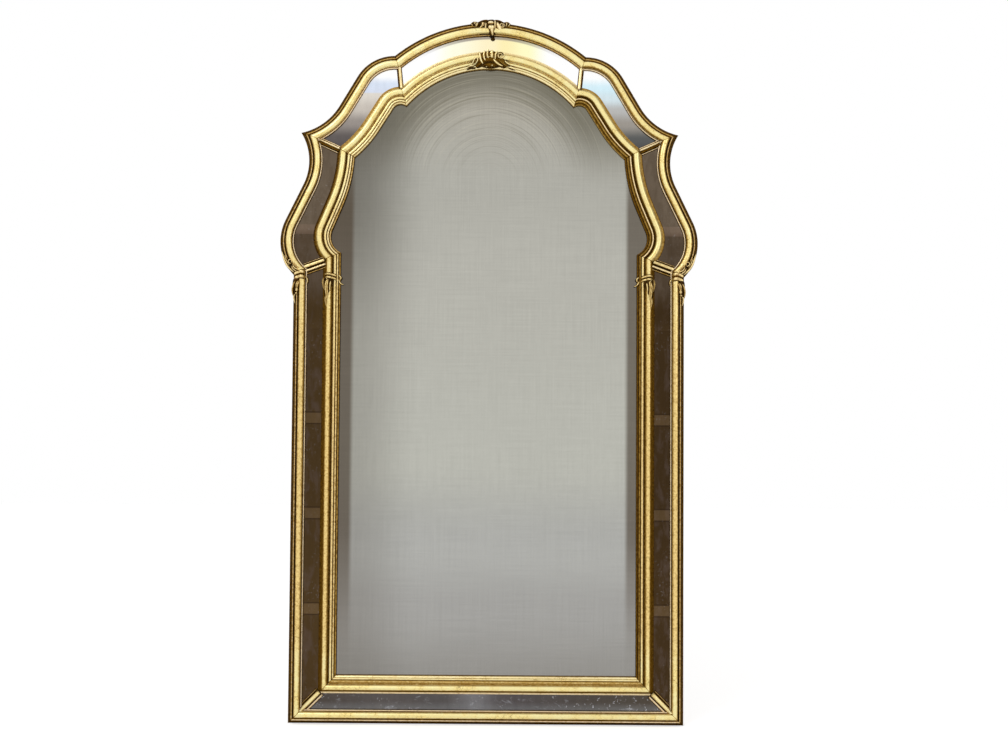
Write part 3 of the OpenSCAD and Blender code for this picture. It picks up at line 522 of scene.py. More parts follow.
def shadeTorus(rows, torus, part):
    # painted shade: the gold of a torus darkens from its crown to its flanks
    if part in torusShade:
        across = (rows[:, 0] - torus[0][0]) / torus[1]
        rows[:, 2] = np.maximum(rows[:, 2], 0.05 + torusShade[part] * across ** 2)


def outerMasks(part, side):
    # the outer profile as it shows on one length, with its painted shade: a darker fillet and less painted
    # shade on the gold towards the top, less on the bottom rail and more down the torus's far flank on the
    # right
    profile, rows = outerProfile(), outerRows
    shadeAndDirt = profile[:, 2]
    if part in ("crest", "shoulder"):
        shadeAndDirt[rows["fillet"]] += 0.06
        shadeAndDirt[rows["groove"]] *= 0.7
        shadeAndDirt[rows["torusAndCove"]] *= 0.4
    if part == "crest":
        shadeAndDirt[rows["bead"]] += 0.35
    if part == "bottom":
        shadeAndDirt[rows["filletToCove"]] *= 0.6
    if side == "right" and part in ("shoulder", "lobe"):
        fade(shadeAndDirt[rows["farFlank"]], 0.05, 0.9)
    shadeTorus(profile[rows["torus"]], outerTorus, part)
    return profile


def innerMasks(part, side):
    # the inner profile as it shows on one length, with its painted shade
    profile, rows = innerProfile(), innerRows
    shadeAndDirt, cream = profile[:, 2], profile[:, 3]
    if part in ("crest", "bottom"):
        # the fillet beside the glass has the least painted shade and is palest on the arch and the bottom
        # rail
        shadeAndDirt[rows["sightFillet"]] *= 0.3
        cream[rows["sightFillet"]] *= 1.6
    if part not in ("lobe", "stile"):
        shadeAndDirt[rows["fromTorus"]] *= 0.55
        cream[rows["fromTorus"]] *= 0.6
    profile[rows["edge"], 2:] = (0.15, 0.8) if part == "bottom" else (0.95, 0)
    if part == "crest":
        # the edge beside the arch plate is as pale as the plate
        profile[rows["edgeAndHollow"], 2:] = (0.12, 0.5)
        shadeAndDirt[rows["groove"]] *= 0.75
    if part in ("shoulder", "lobe"):
        edge, low, high = (0.45, 0.35, 0.1) if part == "shoulder" else (0.9, 0.6, 0.25)
        shadeAndDirt[rows["edge"]] = edge
        fade(shadeAndDirt[rows["hollow"]], low, high)
        fade(shadeAndDirt[rows["nearFlank"]], 0.2, 0)
    if part == "bottom":
        # less painted shade on the torus's far flank, which shows broader here, and more on the bead above
        # it, which turns amber
        shadeAndDirt[rows["farFlank"]] *= 0.3
        shadeAndDirt[rows["beadOutside"]] += 0.3
    if side == "right" or part == "stile":
        # more painted shade on the bead and the fillet beside the glass, the most on the right
        shadeAndDirt[rows["besideGlass"]] += 0.12 if side == "left" else 0.42
        cream[rows["besideGlass"]] *= 0.5
    if side == "right" and part != "stile":
        # painted shade: a dark groove, and of the large bead only its crown is pale
        fade(shadeAndDirt[rows["flankAndGroove"]], 0.35, 1.0)
        shadeAndDirt[rows["bead"]] = 0.6
        profile[rows["beadCrown"], 2:] = (0.08, 0.8)
    if side == "right" and part == "lobe":
        fade(shadeAndDirt[rows["hollowRise"]], 0.45, 0.05)
    shadeTorus(profile[rows["torus"]], innerTorus, part)
    if part == "stile":
        fade(shadeAndDirt[rows["hollowFace"]], 0.85, 0.45)
    return profile


def rowBeside(end, beyond, gap=1.3):
    # a row of points that lies gap away from the end row, or half way to the next row where that is nearer
    way = beyond - end
    return end + way * np.minimum(gap / np.linalg.norm(way, axis=-1), 0.5)[:, None]


def buildMoulding(node, plan, profile, width, left):
    # the surface P(s, t) = path moved in by u(t), at height v(t), with s along the path;
    # the rows beside the ends keep the dark, dirty line in each mitre thin
    rings = np.stack([pathAt(plan, u, width) for u in profile[:, 0]], 1)
    beside = [rowBeside(rings[0], rings[1]), rowBeside(rings[-1], rings[-2])]
    rings = np.concatenate([rings[:1], [beside[0]], rings[1:-1], [beside[1]], rings[-1:]])
    verts = plant(rings * flipX if left else rings, profile[None, :, 1])
    # painted shade of the profile down every row, darker still in the two mitre rows
    shadeAndDirt = np.tile(profile[:, 2], (len(verts), 1))
    shadeAndDirt[[0, -1]] += 0.5
    dressNode(node, "_dressed", verts, tubeFaces(*verts.shape[:2]), mouldingGilt,
              np.clip(shadeAndDirt, 0, 1), profile[:, 3])


for label, shape, masks in (("outer", outerShape, outerMasks), ("inner", innerShape, innerMasks)):
    for part, plan in outlineCorners(shape).items():
        for side in ("",) if part in ("crest", "bottom") else ("left", "right"):
            node = f"{label}_{part}_moulding" + (side and "_" + side)
            buildMoulding(node, plan, masks(part, side), shape["width"], side == "left")
print("mouldings ready")


# Dividers: rounded bars across the border, which run onto both mouldings. Each bead is (place across the bar,
# radius, height of its top, cream, painted shade); the bar is low between them and painted dark as shade
dividerBeads = {
    "notch": [(2.6, 1.6, 7.8, 0.6, 0.85), (-1.2, 3.2, 9.6, 0.5, 0.0)],
    "ear": [(-5.4, 1.2, 6.8, 0.9, 0.05), (-1.6, 2.2, 9.0, 0.7, 0.08), (3.2, 2.5, 8.8, 0.2, 0.75),
            (7.2, 0.9, 6.0, 0.9, 0.05)],
    "waist": [(-11.6, 0.8, 5.4, 1.0, 0.25), (-5.4, 3.2, 10.4, 0.25, 0.0), (3.0, 2.2, 9.0, 0.6, 0.0),
              (9.0, 1.0, 6.2, 1.0, 0.35)],
    "corner": [(-7.6, 0.8, 5.4, 1.0, 0.3), (0, 4.6, 10.6, 0.15, 0.0), (8.2, 2.1, 6.4, 1.0, -0.2)],
}
waistShift = np.array([0, -4.2])  # of the inner end of the waist dividers
barGround, barFoot = 3.9, 3.05  # heights of the ground between the beads and of the underside
barOuter, barInner = 4, 5  # how far a bar runs onto the outer and the inner moulding


def buildDivider(node, start, end, beads, left):
    # P(s, t) = start + s (end - start) + t n, at the height of the tallest bead over t
    way = (end - start) / np.linalg.norm(end - start)
    a, b = start - barOuter * way, end + barInner * way
    n = np.array([-way[1], way[0]])
    low, high = min(c - r for c, r, *_ in beads) - 0.9, max(c + r for c, r, *_ in beads) + 0.9
    t = np.linspace(low, high, 61)
    # painted shade: dark on the ground between the beads and down each bead's sides
    v, paintedShade, cream = np.full(61, barGround), np.ones(61), np.zeros(61)
    for c, r, top, pale, shade in beads:
        x = (t - c) / r
        inside = np.abs(x) < 1
        rise = np.where(inside, top - r + r * np.sqrt(np.clip(1 - x ** 2, 0, 1)), 0)
        taller = inside & (rise > v)
        v = np.where(taller, rise, v)
        paintedShade = np.where(taller, np.clip(shade + np.abs(x) ** 4, 0, 1), paintedShade)
        cream = np.where(taller, pale, cream)
    t, v, paintedShade, cream = (np.concatenate([[first], row, [last]]) for first, row, last in (
        (low, t, high), (barFoot, v, barFoot), (1, paintedShade, 1), (0, cream, 0)))
    plan = a + (b - a) * np.linspace(0, 1, 12)[:, None, None] + n * t[:, None]
    verts = plant(plan * flipX if left else plan, v)
    dressNode(node, "_bar", verts, tubeFaces(*verts.shape[:2]), dividerGilt, paintedShade, cream)


outerEnds, innerEnds = outlineCorners(outerShape), outlineCorners(innerShape)
for place, part, end in (("notch", "shoulder", 1), ("ear", "shoulder", 2), ("waist", "lobe", 2),
                         ("corner", "stile", 2)):
    inner = innerEnds[part][end][0] + (waistShift if place == "waist" else 0)
    for side, left in bothSides:
        buildDivider(f"{place}_divider_{side}", outerEnds[part][end][1], inner, dividerBeads[place], left)
print("dividers ready")


# Carving: every leaf is a blade carried along a curve, round on top and flat below, with painted shade down
# its sides and on its underside
carvingFoot = 3.6  # height of the underside


def smoothLine(points, count):
    # a Catmull-Rom curve through the points
    p = np.asarray(points, float)
    p = np.concatenate([[2 * p[0] - p[1]], p, [2 * p[-1] - p[-2]]])
    x = np.linspace(0, len(p) - 3 - 1e-9, count)
    k = x.astype(int)
    t = (x - k)[:, None]
    a, b, c, d = p[k], p[k + 1], p[k + 2], p[k + 3]
    return (2 * b + (c - a) * t + (2 * a - 5 * b + 4 * c - d) * t ** 2 + (3 * b - a - 3 * c + d) * t ** 3) / 2


def closeStrip(plan, v, paintedShade):
    # a strip of surface with a flat underside painted dark as shade
    rows = len(v)
    plan = np.concatenate([plan, plan[:, -1:], plan[:, :1]], 1)
    v = np.concatenate([v, np.full((rows, 2), carvingFoot)], 1)
    paintedShade = np.concatenate([paintedShade, np.ones((rows, 2))], 1)
    return plan.reshape(-1, 2), v.ravel(), paintedShade.ravel(), tubeFaces(*v.shape)


def blade(points, half, edge, crown, count=18, cols=13, vein=0.0, fullness=0.6, taper=(0.5, 0.4), shade=0.0):
    # P(s, t) = centre(s) + t w(s) n(s), where w = half s^a (1 - s)^b made to peak at half,
    # at the height edge + (crown(s) - edge)(1 - t^2)^fullness, less a vein along t = 0; painted shade darkens
    # its sides and the vein, and shade darkens it all
    centre = smoothLine(points, count)
    s = np.linspace(0.004, 0.996, count)
    w = s ** taper[0] * (1 - s) ** taper[1]
    w = half * w / w.max()
    d = np.gradient(centre, axis=0)
    n = np.stack([-d[:, 1], d[:, 0]], -1) / np.linalg.norm(d, axis=1)[:, None]
    t = np.linspace(-1, 1, cols)
    plan = centre[:, None] + n[:, None] * (w[:, None] * t)[..., None]
    top = np.interp(s, np.linspace(0, 1, len(crown)), crown)
    rise = (top - edge)[:, None] * np.sqrt(w / half)[:, None]
    v = edge + rise * (1 - t ** 2) ** fullness - vein * np.exp(-(t / 0.22) ** 2) * np.sin(np.pi * s)[:, None]
    groove = 0.75 * np.exp(-(t / 0.22) ** 2) if vein > 0 else 0
    paintedShade = np.clip(shade + 1.15 * np.abs(t) ** 2.4 + groove, 0, 1) + 0 * s[:, None]
    return closeStrip(plan, v, paintedShade)


def scroll(centre, radius, turns, start, half, edge, crown, tightness=0.75, way=1):
    # a blade on a spiral whose radius falls from radius to (1 - tightness) radius
    s = np.linspace(0, 1, 24)
    r = radius * (1 - tightness * s)
    points = np.array(centre) + r[:, None] * unit(start + way * 360 * turns * s)
    return blade(points, half, edge, crown, count=30, cols=9, taper=(0.15, 0.25))


def boss(centre, a, b, low, top, shade=0.0):
    # half an ellipsoid: P(s, t) = centre + (a cos t, b sin t) cos s, at low + (top - low) sin s
    s = np.radians(np.linspace(0, 88, 10))[:, None]
    t = np.radians(np.arange(20) * 18)
    plan = np.stack([centre[0] + a * np.cos(s) * np.cos(t), centre[1] + b * np.cos(s) * np.sin(t)], -1)
    v = low + (top - low) * np.sin(s) + 0 * t
    # painted shade darkens it towards its foot, and shade darkens it all
    paintedShade = np.clip(shade + 1.1 - 1.5 * np.sin(s), 0, 1) + 0 * t
    return plan.reshape(-1, 2), v.ravel(), paintedShade.ravel(), tubeFaces(*v.shape)


def collar(top, uFrom, uTo, middle, length, lift, lean, bow, shade):
    # two bands of rounded strap over a moulding: height = top(u) + lift |sin| across the bands; the strap
    # crosses inwards from the place middle on the moulding's edge, and it leans and bows up
    y, u = np.meshgrid(np.linspace(-0.5, 0.5, 41), np.linspace(uFrom, uTo, 27), indexing="ij")
    across = 2 * (u - uFrom) / (uTo - uFrom) - 1
    wave = np.abs(np.sin((y + 0.5) * np.pi * 2))
    ends = np.clip(1 - np.abs(2 * y) ** 8, 0, 1) * np.clip(1 - np.abs(across) ** 8, 0, 1)
    v = top(u) + (0.4 + lift * wave ** 0.7) * ends
    # painted shade between the bands and at the strap's ends; shade darkens it all
    paintedShade = np.clip(1.1 + shade - 1.6 * wave + (1 - ends) * 0.6, 0.5 * shade, 1)
    climb = y * length + lean * (u - uFrom) + bow * (1 - across ** 2)
    return closeStrip(np.stack([middle[0] - u, middle[1] + climb], -1), v, paintedShade)


def carve(node, parts, cream, left=False):
    # joins the blades of one carving into one piece
    verts, paintedShade, faces, first = [], [], [], 0
    for plan, v, g, f in parts:
        verts.append(plant(plan * flipX if left else plan, v))
        paintedShade.append(g)
        faces += [[first + i for i in (face[::-1] if left else face)] for face in f]
        first += len(v)
    dressNode(node, "_carved", np.concatenate(verts), faces, carvedGilt,
              np.concatenate(paintedShade), cream)


def dome(u, circle):
    (x, y), r = circle
    return y + np.sqrt(np.clip(r * r - (u - x) ** 2, 0, None)) - np.where(np.abs(u - x) < r, 0, 9)


def outerTop(u):
    # the moulding's upper side with its grooves bridged
    base = np.interp(u, [0, 9.4, 12.4, 24.2, 27], [12.4, 12.8, 14.5, 12.0, 8.4])
    return np.maximum(base, dome(u, outerTorus))


def innerTop(u):
    base = np.interp(u, [0, 7.4, 18.2, 21, 27.5, 31.5, 35], [8, 12.0, 12.6, 12.4, 10.8, 10.4, 7])
    return np.maximum(base, np.maximum(dome(u, innerTorus), dome(u, largeBead)))


def bladeIn(place):
    # a blade whose points are given in the measures of one place, such as along and over the arch
    return lambda points, *sizes, **more: blade([place(*point) for point in points], *sizes, **more)


# Crest: a pendant drop between upright leaves, with smaller curled leaves falling away along the arch

def onArch(x, rise):
    # a point that lies x along the arch from its top and rise outside the outline
    r = outerShape["crestRadius"]
    return np.array([0, frameSize["height"] - r]) + (r + rise) * unit(90 - math.degrees(x / r))


archBlade = bladeIn(onArch)
carve("crest_carving", cream=0.5, parts=[
    # ground along the arch painted dark as shade, then the rolls on both sides of the drop
    archBlade([(-42, -5), (-20, -4.4), (0, -4.6), (20, -4.4), (42, -5)], 5.6, 10, [14, 19, 19, 19, 14],
        taper=(0.3, 0.3), count=40, shade=1),
    archBlade([(-29, -4), (-18, -0.6), (-8, 0.2), (-0.5, -1.6)], 2.6, 11, [15, 20, 21, 18],
        taper=(0.35, 0.2), shade=0.72),
    archBlade([(29, -4), (20, -0.8), (11, 0.2), (4, -1.6)], 2.6, 11, [15, 20, 21, 18], taper=(0.35, 0.2),
        shade=0.72),
    archBlade([(-41, -3.6), (-34, -1.2), (-26, -1.6)], 2.1, 11, [14, 18, 17], shade=0.72),
    archBlade([(41, -3.6), (34, -1.4), (27, -1.8)], 2, 11, [14, 18, 17], shade=0.55),
    # the drop with its cap, its cup and the tip that hangs over the plate; the drop and the tip are painted
    # dark as shade
    blade([(0.6, 1388), (1.4, 1376), (3, 1366), (4.2, 1358)], 10.8, 12, [20, 21.6, 21, 16],
        taper=(0.16, 0.42), shade=1, fullness=0.3),
    boss((0.4, 1380.6), 6.4, 3.8, 18, 26.4),
    boss((0.9, 1377.2), 5.4, 1.2, 20, 26.6, shade=0.75),
    boss((1.4, 1371.6), 6.8, 5.4, 18, 26.8),
    boss((1, 1372.4), 1.2, 1.6, 24, 27.4, shade=0.8),
    blade([(2, 1371), (3.2, 1364), (4.2, 1357.5)], 5.2, 13, [25.4, 23, 17], taper=(0.1, 0.6)),
    boss((4.6, 1353.2), 4.5, 3.2, 3.1, 10.5, shade=1.5),
    # upright leaves beside the drop
    blade([(8.8, 1368), (8.6, 1376), (8.9, 1385.6)], 2.5, 14, [21.4, 24.5, 23], taper=(0.3, 0.2)),
    blade([(21, 1366), (17.2, 1371.5), (14.2, 1378), (13, 1384.4)], 5.4, 14, [19, 22.6, 23.5, 21],
        taper=(0.3, 0.55)),
    blade([(-10.2, 1367.5), (-9.6, 1376), (-8.8, 1382)], 2.6, 13, [20, 23.5, 22], taper=(0.3, 0.4)),
    blade([(-21.6, 1372), (-17.2, 1375.2), (-15.6, 1379.4), (-17, 1383.4)], 2.3, 13, [19, 22, 22.5, 20],
        taper=(0.3, 0.3)),
    # curls and small leaves further along the arch
    scroll((-15.6, 1379), 3.6, 0.9, -120, 1.25, 13, [20, 22, 23]),
    scroll((22.4, 1376.4), 5, 1.5, 60, 1.35, 13, [20, 22, 22], way=-1, tightness=0.72),
    archBlade([(-30.5, -9.4), (-27, -5.8), (-25.6, -2.2)], 2, 12, [16, 20, 19], taper=(0.3, 0.3)),
    scroll(onArch(-31.5, -3.4), 3, 1, -80, 1.2, 12, [17, 19, 19]),
    archBlade([(31, -9), (32.5, -4.4), (30.8, -1.2)], 1.7, 12, [16, 18.5, 17], taper=(0.3, 0.3)),
    archBlade([(36, -7.6), (38, -4.4), (37, -2)], 1.5, 11, [14, 16, 15], taper=(0.3, 0.3)),
    archBlade([(-36.6, -7), (-38, -4.2), (-37.2, -2)], 1.5, 11, [14, 16, 15], taper=(0.3, 0.3)),
    # leaf tips that lie across the torus
    archBlade([(-25, -22.5), (-30, -18.5), (-33.5, -14)], 0.9, 15, [17, 19.8, 19], taper=(0.3, 0.3),
        shade=0.8),
    archBlade([(-24, -23.5), (-12, -24), (-5, -24.6)], 0.8, 12, [13, 13.5, 13], taper=(0.2, 0.2),
        shade=0.9),
])


# Palmette: petals that fan out from a foot painted dark as shade, a curl on the left, a spiral on the right
# and tails along the moulding; it is drawn round its foot and then spread
foot = np.array([0, 1300.5])
palmetteSpread = np.array([1.17, 1.07])


def onFoot(x, y):
    return foot + (x, y)


footBlade = bladeIn(onFoot)
palmette = [
    boss(onFoot(0.5, -1.5), 17, 6, 8.6, 15.2, shade=1),
    # ground under the petals, painted dark as shade
    footBlade([(-25, -4.5), (-12, 6), (0, 8), (12, 6), (27, -4.5)], 8.5, 9, [12, 17, 18.4, 17, 12],
        taper=(0.3, 0.3), count=34, shade=0.72, fullness=0.3),
    footBlade([(-22, 3), (-14, 13.5), (0, 17.5), (14, 13.5), (23, 3)], 7.2, 11, [16, 18.2, 18.4, 18.2, 16],
        taper=(0.2, 0.2), count=34, shade=0.62, fullness=0.25),
]
for points, wide, tops in (
        ([(-1.6, 8), (-4.8, 13), (-5.2, 19), (-3.2, 26)], 2.3, [17.5, 21.4, 20.6]),
        ([(-7.4, 4), (-10.4, 10), (-11.2, 16.5), (-9.2, 23.8)], 2.4, [17, 21.2, 20.4]),
        ([(-12.6, 0), (-16.2, 7), (-17.6, 14), (-19.4, 21.6)], 2.7, [16, 20.6, 19.8]),
        ([(1.8, 8), (2.4, 14), (1.8, 19.5), (3.6, 24.6)], 3.9, [17, 21.6, 20.8]),
        ([(7.8, 6), (8.4, 12), (9, 17.5), (12, 23)], 2.2, [17, 21.2, 20.2])):
    palmette.append(footBlade(points, wide, 14, tops, taper=(0.4, 0.25)))
palmette += [
    boss(onFoot(1.2, 17.5), 1.2, 2, 19, 22, shade=0.7),
    footBlade([(-30.5, -0.5), (-27.5, 7), (-23.4, 10.4), (-21.6, 6), (-25, 0)], 1.9, 13,
        [16, 20, 20.6, 19.6, 16.5], taper=(0.25, 0.25), count=30),
    footBlade([(-27.6, 0.5), (-25.4, 4), (-24, 7)], 1.5, 12, [16, 18.6, 18.4], shade=0.5),
    scroll(onFoot(17.4, 14.6), 7.6, 1.7, 150, 1.35, 14, [18.6, 21.2, 20.8], way=-1, tightness=0.8),
    footBlade([(4.6, 9), (9, 3), (15, -1.5), (21.5, -3.5)], 2.6, 13, [19.4, 20.6, 18.6, 14],
        taper=(0.35, 0.5)),
    footBlade([(13.5, 9.5), (19, 3.5), (25, -1.5), (31, -3.6)], 2.8, 12, [19, 19.6, 17.6, 13],
        taper=(0.35, 0.5), vein=0.8, shade=0.3),
    footBlade([(24, 6), (28.5, 1.2), (34.5, -1.6)], 2, 11, [17, 18, 14], taper=(0.4, 0.5)),
    footBlade([(29, -4.4), (36, -6.6), (43.5, -9.2)], 2.6, 8.5, [12, 15.5, 12], taper=(0.5, 0.4)),
    footBlade([(-27, -3.4), (-33, -4), (-39.5, -5.4)], 2, 10, [14, 16.5, 13], taper=(0.4, 0.5)),
    footBlade([(-25, -7.6), (-33.5, -7.6), (-40, -10)], 1.2, 9, [12, 14, 11], shade=0.75),
    boss(onFoot(3.2, -3), 1.8, 1.5, 12, 17.5),
    boss(onFoot(-6.5, -5), 1.5, 1.2, 9, 15.6),
]
carve("palmette_carving", cream=0.3,
      parts=[(foot + (plan - foot) * palmetteSpread, *rest) for plan, *rest in palmette])


# Outer waist: a banded collar over the joint, a scroll up the lobe and a leaf down the stile's edge
half, waistY = 386.5, 878.4
innerHalf = half - innerShape["inset"]
lobeMiddle, lobeRadius = np.array([316.84, 945.91]), 97


def roundLobe(u, turn):
    return lobeMiddle + (lobeRadius - u) * unit(-turn)


def onStile(u, down):
    return np.array([half - u, waistY - down])


def onInner(u, down):
    return np.array([innerHalf - u, waistY - down])


lobeBlade, stileBlade, innerBlade = bladeIn(roundLobe), bladeIn(onStile), bladeIn(onInner)
outerLeaf = [
    collar(outerTop, 2.2, 23.5, (half, waistY - 4), 19, 2.8, lean=0.16, bow=2.8, shade=0.3),
    # ground painted dark as shade, with the lumps and tips of the leaf on it
    stileBlade([(7, 8), (5.4, 22), (4.4, 34), (5.2, 46)], 7, 9, [17, 17, 15, 11], taper=(0.1, 0.55),
        shade=1, count=26),
    stileBlade([(12.5, 13), (9.5, 20), (8, 29)], 3.6, 14, [20, 22.4, 19], vein=1, taper=(0.3, 0.5)),
    stileBlade([(6, 12), (2, 20), (-0.6, 31), (0.4, 42)], 2.3, 10, [17, 19.4, 18, 12], taper=(0.35, 0.5),
        shade=0.25),
    boss(onStile(8.4, 30), 3, 4.4, 12, 20.6),
    boss(onStile(7.6, 37), 2.6, 2.3, 12, 19.4),
    stileBlade([(5, 38), (2.6, 44), (3.4, 52), (4.4, 57)], 2, 9, [16, 17, 14, 10], taper=(0.4, 0.6)),
    # the tip that curls over the glass
    stileBlade([(22.5, 2), (27, 7), (28.2, 13), (25.8, 18)], 2.3, 5, [12, 13, 11, 8], taper=(0.35, 0.5)),
    # ridges that run up to the scroll, and the long leaf on the lobe's edge
    lobeBlade([(19, 45.5), (16, 39), (17, 32)], 2.2, 14, [22, 22.6, 20.5], vein=0.9),
    lobeBlade([(14.5, 45.5), (11.5, 39.5), (13, 33.5)], 1.9, 12, [21.4, 22, 19.5], taper=(0.3, 0.4)),
    lobeBlade([(9.6, 45), (7.6, 39.5), (9.2, 35)], 1.8, 12, [19, 20.4, 18.5], taper=(0.3, 0.4)),
    lobeBlade([(9, 42), (8, 34), (8, 27), (7, 20)], 5.4, 9, [16, 15, 14, 12], taper=(0.2, 0.4), shade=1),
    scroll(roundLobe(11.5, 29.5), 4.2, 1, 250, 1.4, 12, [20, 21.4, 20.6], tightness=0.35),
    lobeBlade([(4.6, 43), (2.4, 34), (2, 25), (2.2, 13)], 2.6, 10, [17, 18.4, 16, 12], taper=(0.35, 0.5)),
    lobeBlade([(5.4, 33), (5.6, 26), (5.2, 19)], 1.5, 10, [15, 17, 14], taper=(0.3, 0.4)),
]

# Inner stile below the waist: a ridged wrap over the inner moulding and long leaves under it, on ground
# painted dark as shade
innerLeaf = [
    collar(innerTop, 4.5, 28, (innerHalf, waistY - 2.4), 13, 2.2, lean=-0.14, bow=1.8, shade=0.45),
    innerBlade([(14, 8), (20, 13), (30, 13)], 5.6, 9, [17, 14, 10], taper=(0.3, 0.35), shade=1),
    innerBlade([(7.5, 7), (12.5, 11), (19.5, 12.8)], 1.8, 12, [19.4, 19.6, 14], taper=(0.3, 0.5)),
    innerBlade([(12, 7), (10.5, 20), (10.2, 34), (10.6, 58)], 8.6, 14.5, [19, 19, 18.8, 18.2],
        taper=(0.08, 0.5), shade=1, count=26, fullness=0.3),
    innerBlade([(3.4, 6), (2, 14), (3.6, 24), (8, 36)], 2.6, 10, [17, 19.8, 20.4, 19], taper=(0.35, 0.5),
        vein=0.8),
    innerBlade([(11.5, 10), (9.2, 22), (9.8, 34), (11, 48)], 4.2, 17, [22, 22.8, 21.4, 19.4],
        taper=(0.3, 0.45), vein=1.4),
    innerBlade([(17.4, 13), (16, 23), (15.4, 34)], 2.1, 14, [20.4, 20.8, 19], taper=(0.3, 0.5)),
    innerBlade([(8.4, 42), (8, 52), (10.4, 66)], 2.6, 15, [20.4, 20.4, 18.4], taper=(0.35, 0.6), vein=0.8),
    # tips over the glass
    innerBlade([(31, 0), (36, 5), (34, 10)], 1.9, 4.6, [9, 10, 8], taper=(0.3, 0.4)),
    innerBlade([(31, 8), (35, 16), (41, 19)], 1.7, 4.2, [9, 9.6, 7], taper=(0.3, 0.5)),
]
for kind, leaf, cream in (("outer", outerLeaf, 0.3), ("inner", innerLeaf, 0.15)):
    for side, left in bothSides:
        carve(f"{kind}_leaf_{side}", leaf, cream, left)
print("carvings ready")


# Old mirror glass: silvering that has clouded, with fine streaks, specks and pale spots

def buildSilvering():
    tree, given, out = newGroup(
        "old silvering",
        [("Place", "Vector", None), ("Colour", "Color", (0.3, 0.3, 0.3, 1)), ("Mottle", "Float", 0.2),
         ("Streaks", "Float", 0.1), ("Spots", "Float", 0.0)],
        [("Colour", "Color"), ("Roughness", "Float"), ("Height", "Float")])
    place = given["Place"]
    cloud = stretched(place, (6, 6, 9), 5, 0.55, 0.3)
    mottle = stretched(place, (90, 90, 34), 4, 0.6)
    upright = stretched(place, (420, 1, 7), 2, 0.5)
    level = stretched(place, (9, 1, 380), 2, 0.5)
    speck = noise(place, 230, 3, 0.6)
    tone = scaled(plus(cloud, mottle), 0.5, -0.5)
    lines = scaled(plus(upright, level), 0.5, -0.5)
    change = plus(times(tone, given["Mottle"]), times(lines, given["Streaks"]))
    factor = plus(change, 1.0)
    grey = put("ShaderNodeCombineColor", {0: factor, 1: factor, 2: factor}).outputs[0]
    colour = mixColour(1.0, given["Colour"], grey, "MULTIPLY")
    colour = tint(colour, (200, 200, 206), given["Spots"], (speck, 0.63, 0.7), (cloud, 0.42, 0.6))
    wire(out, {"Colour": colour, "Roughness": scaled(mottle, 0.14, 0.1),
               "Height": plus(mottle, times(lines, 0.5))})
    return tree


silveringGroup = buildSilvering()


def along(value, low, high, stops):
    # a colour that changes through the stops (place from 0 to 1, red, green, blue) as the value goes
    # from low to high
    share = put("ShaderNodeMapRange", {"Value": value, "From Min": low, "From Max": high}).outputs[0]
    node = put("ShaderNodeValToRGB", {0: share})
    node.color_ramp.interpolation = "EASE"
    for index, (position, *colour) in enumerate(stops):
        stop = node.color_ramp.elements[index] if index < 2 else node.color_ramp.elements.new(position)
        stop.position, stop.color = position, rgb(*colour)
    return node.outputs[0]


def distance(x, z, height):
    # from the point at that height on the mirror's middle line
    up = maths("POWER", maths("SUBTRACT", z, height), 2.0)
    return maths("SQRT", plus(times(x, x), up))


def centreTone(place):
    # a painted reflection, palest in the middle, with painted shade under the arch and olive painted shade
    # towards the left edge
    x, _, z = axes(place)
    tone = along(z, 0.08, 1.3, [
        (0.0, 138, 136, 132), (0.12, 151, 150, 147), (0.22, 168, 168, 164), (0.36, 184, 184, 175),
        (0.66, 181, 180, 171), (0.8, 175, 174, 165), (1.0, 172, 167, 154)])
    reach = distance(x, z, 1.071)
    tone = tint(tone, (98, 94, 78), 0.72, (reach, 0.13, 0.218), (z, 1.04, 1.2))
    # arcs that follow the arch, dark and pale by turns
    turn = put("ShaderNodeCombineXYZ", {0: times(reach, 330.0), 1: times(x, 5.0)}).outputs[0]
    rings = noise(turn, 1.0, 2)
    tone = tint(tone, (102, 96, 72), 0.34, (rings, 0.5, 0.68), (z, 1.05, 1.22))
    tone = tint(tone, (206, 200, 178), 0.2, (rings, 0.46, 0.3), (z, 1.05, 1.22))
    # painted shade towards the left edge, deepest in the upper part
    leftwards = times(x, -1.0)
    tone = tint(tone, (96, 90, 80), 0.36, (leftwards, 0.13, 0.265))
    tone = tint(tone, (90, 86, 78), 0.62, (leftwards, 0.1, 0.29), (z, 0.72, 1.05))
    # painted shadow of the mouldings down both sides
    aside = maths("ABSOLUTE", maths("SUBTRACT", x, 0.002))
    return tint(tone, (84, 72, 58), 0.78, (aside, 0.266, 0.277), (z, 1.2, 1.0), (z, 0.06, 0.4))


def sideTone(place):
    # a painted reflection of a dark room: brown, with paler level bands that lie 187 mm apart, and a lighter
    # painted reflection where the lobe swells out
    firstBand, bandGap = 0.222, 0.187
    x, _, z = axes(place)
    tone = mixColour(ramp(x, -0.1, 0.1), rgb(68, 52, 31), rgb(60, 45, 27))
    haze = stretched(place, (60, 60, 22), 4, 0.65, 0.5)
    tone = tint(tone, (84, 71, 64), 0.45, (haze, 0.45, 0.66))
    lift = maths("PINGPONG", maths("SUBTRACT", z, firstBand - bandGap), bandGap / 2)
    tone = tint(tone, (116, 94, 66), 0.3, (lift, 0.0115, 0.0095), (z, 0.8, 0.7))
    tone = tint(tone, (42, 30, 20), 0.6, (lift, 0.0135, 0.0118), (lift, 0.0092, 0.0108), (z, 0.8, 0.7))
    cloud = scaled(ramp(haze, 0.38, 0.62), 0.35, 0.6)
    tone = tint(tone, (86, 73, 60), cloud, (z, 0.81, 0.87))
    tone = tint(tone, (106, 93, 78), cloud, (z, 0.962, 0.972))
    return tint(tone, (134, 112, 96), 0.3, (lift, 0.0105, 0.0085), (z, 0.9, 0.93))


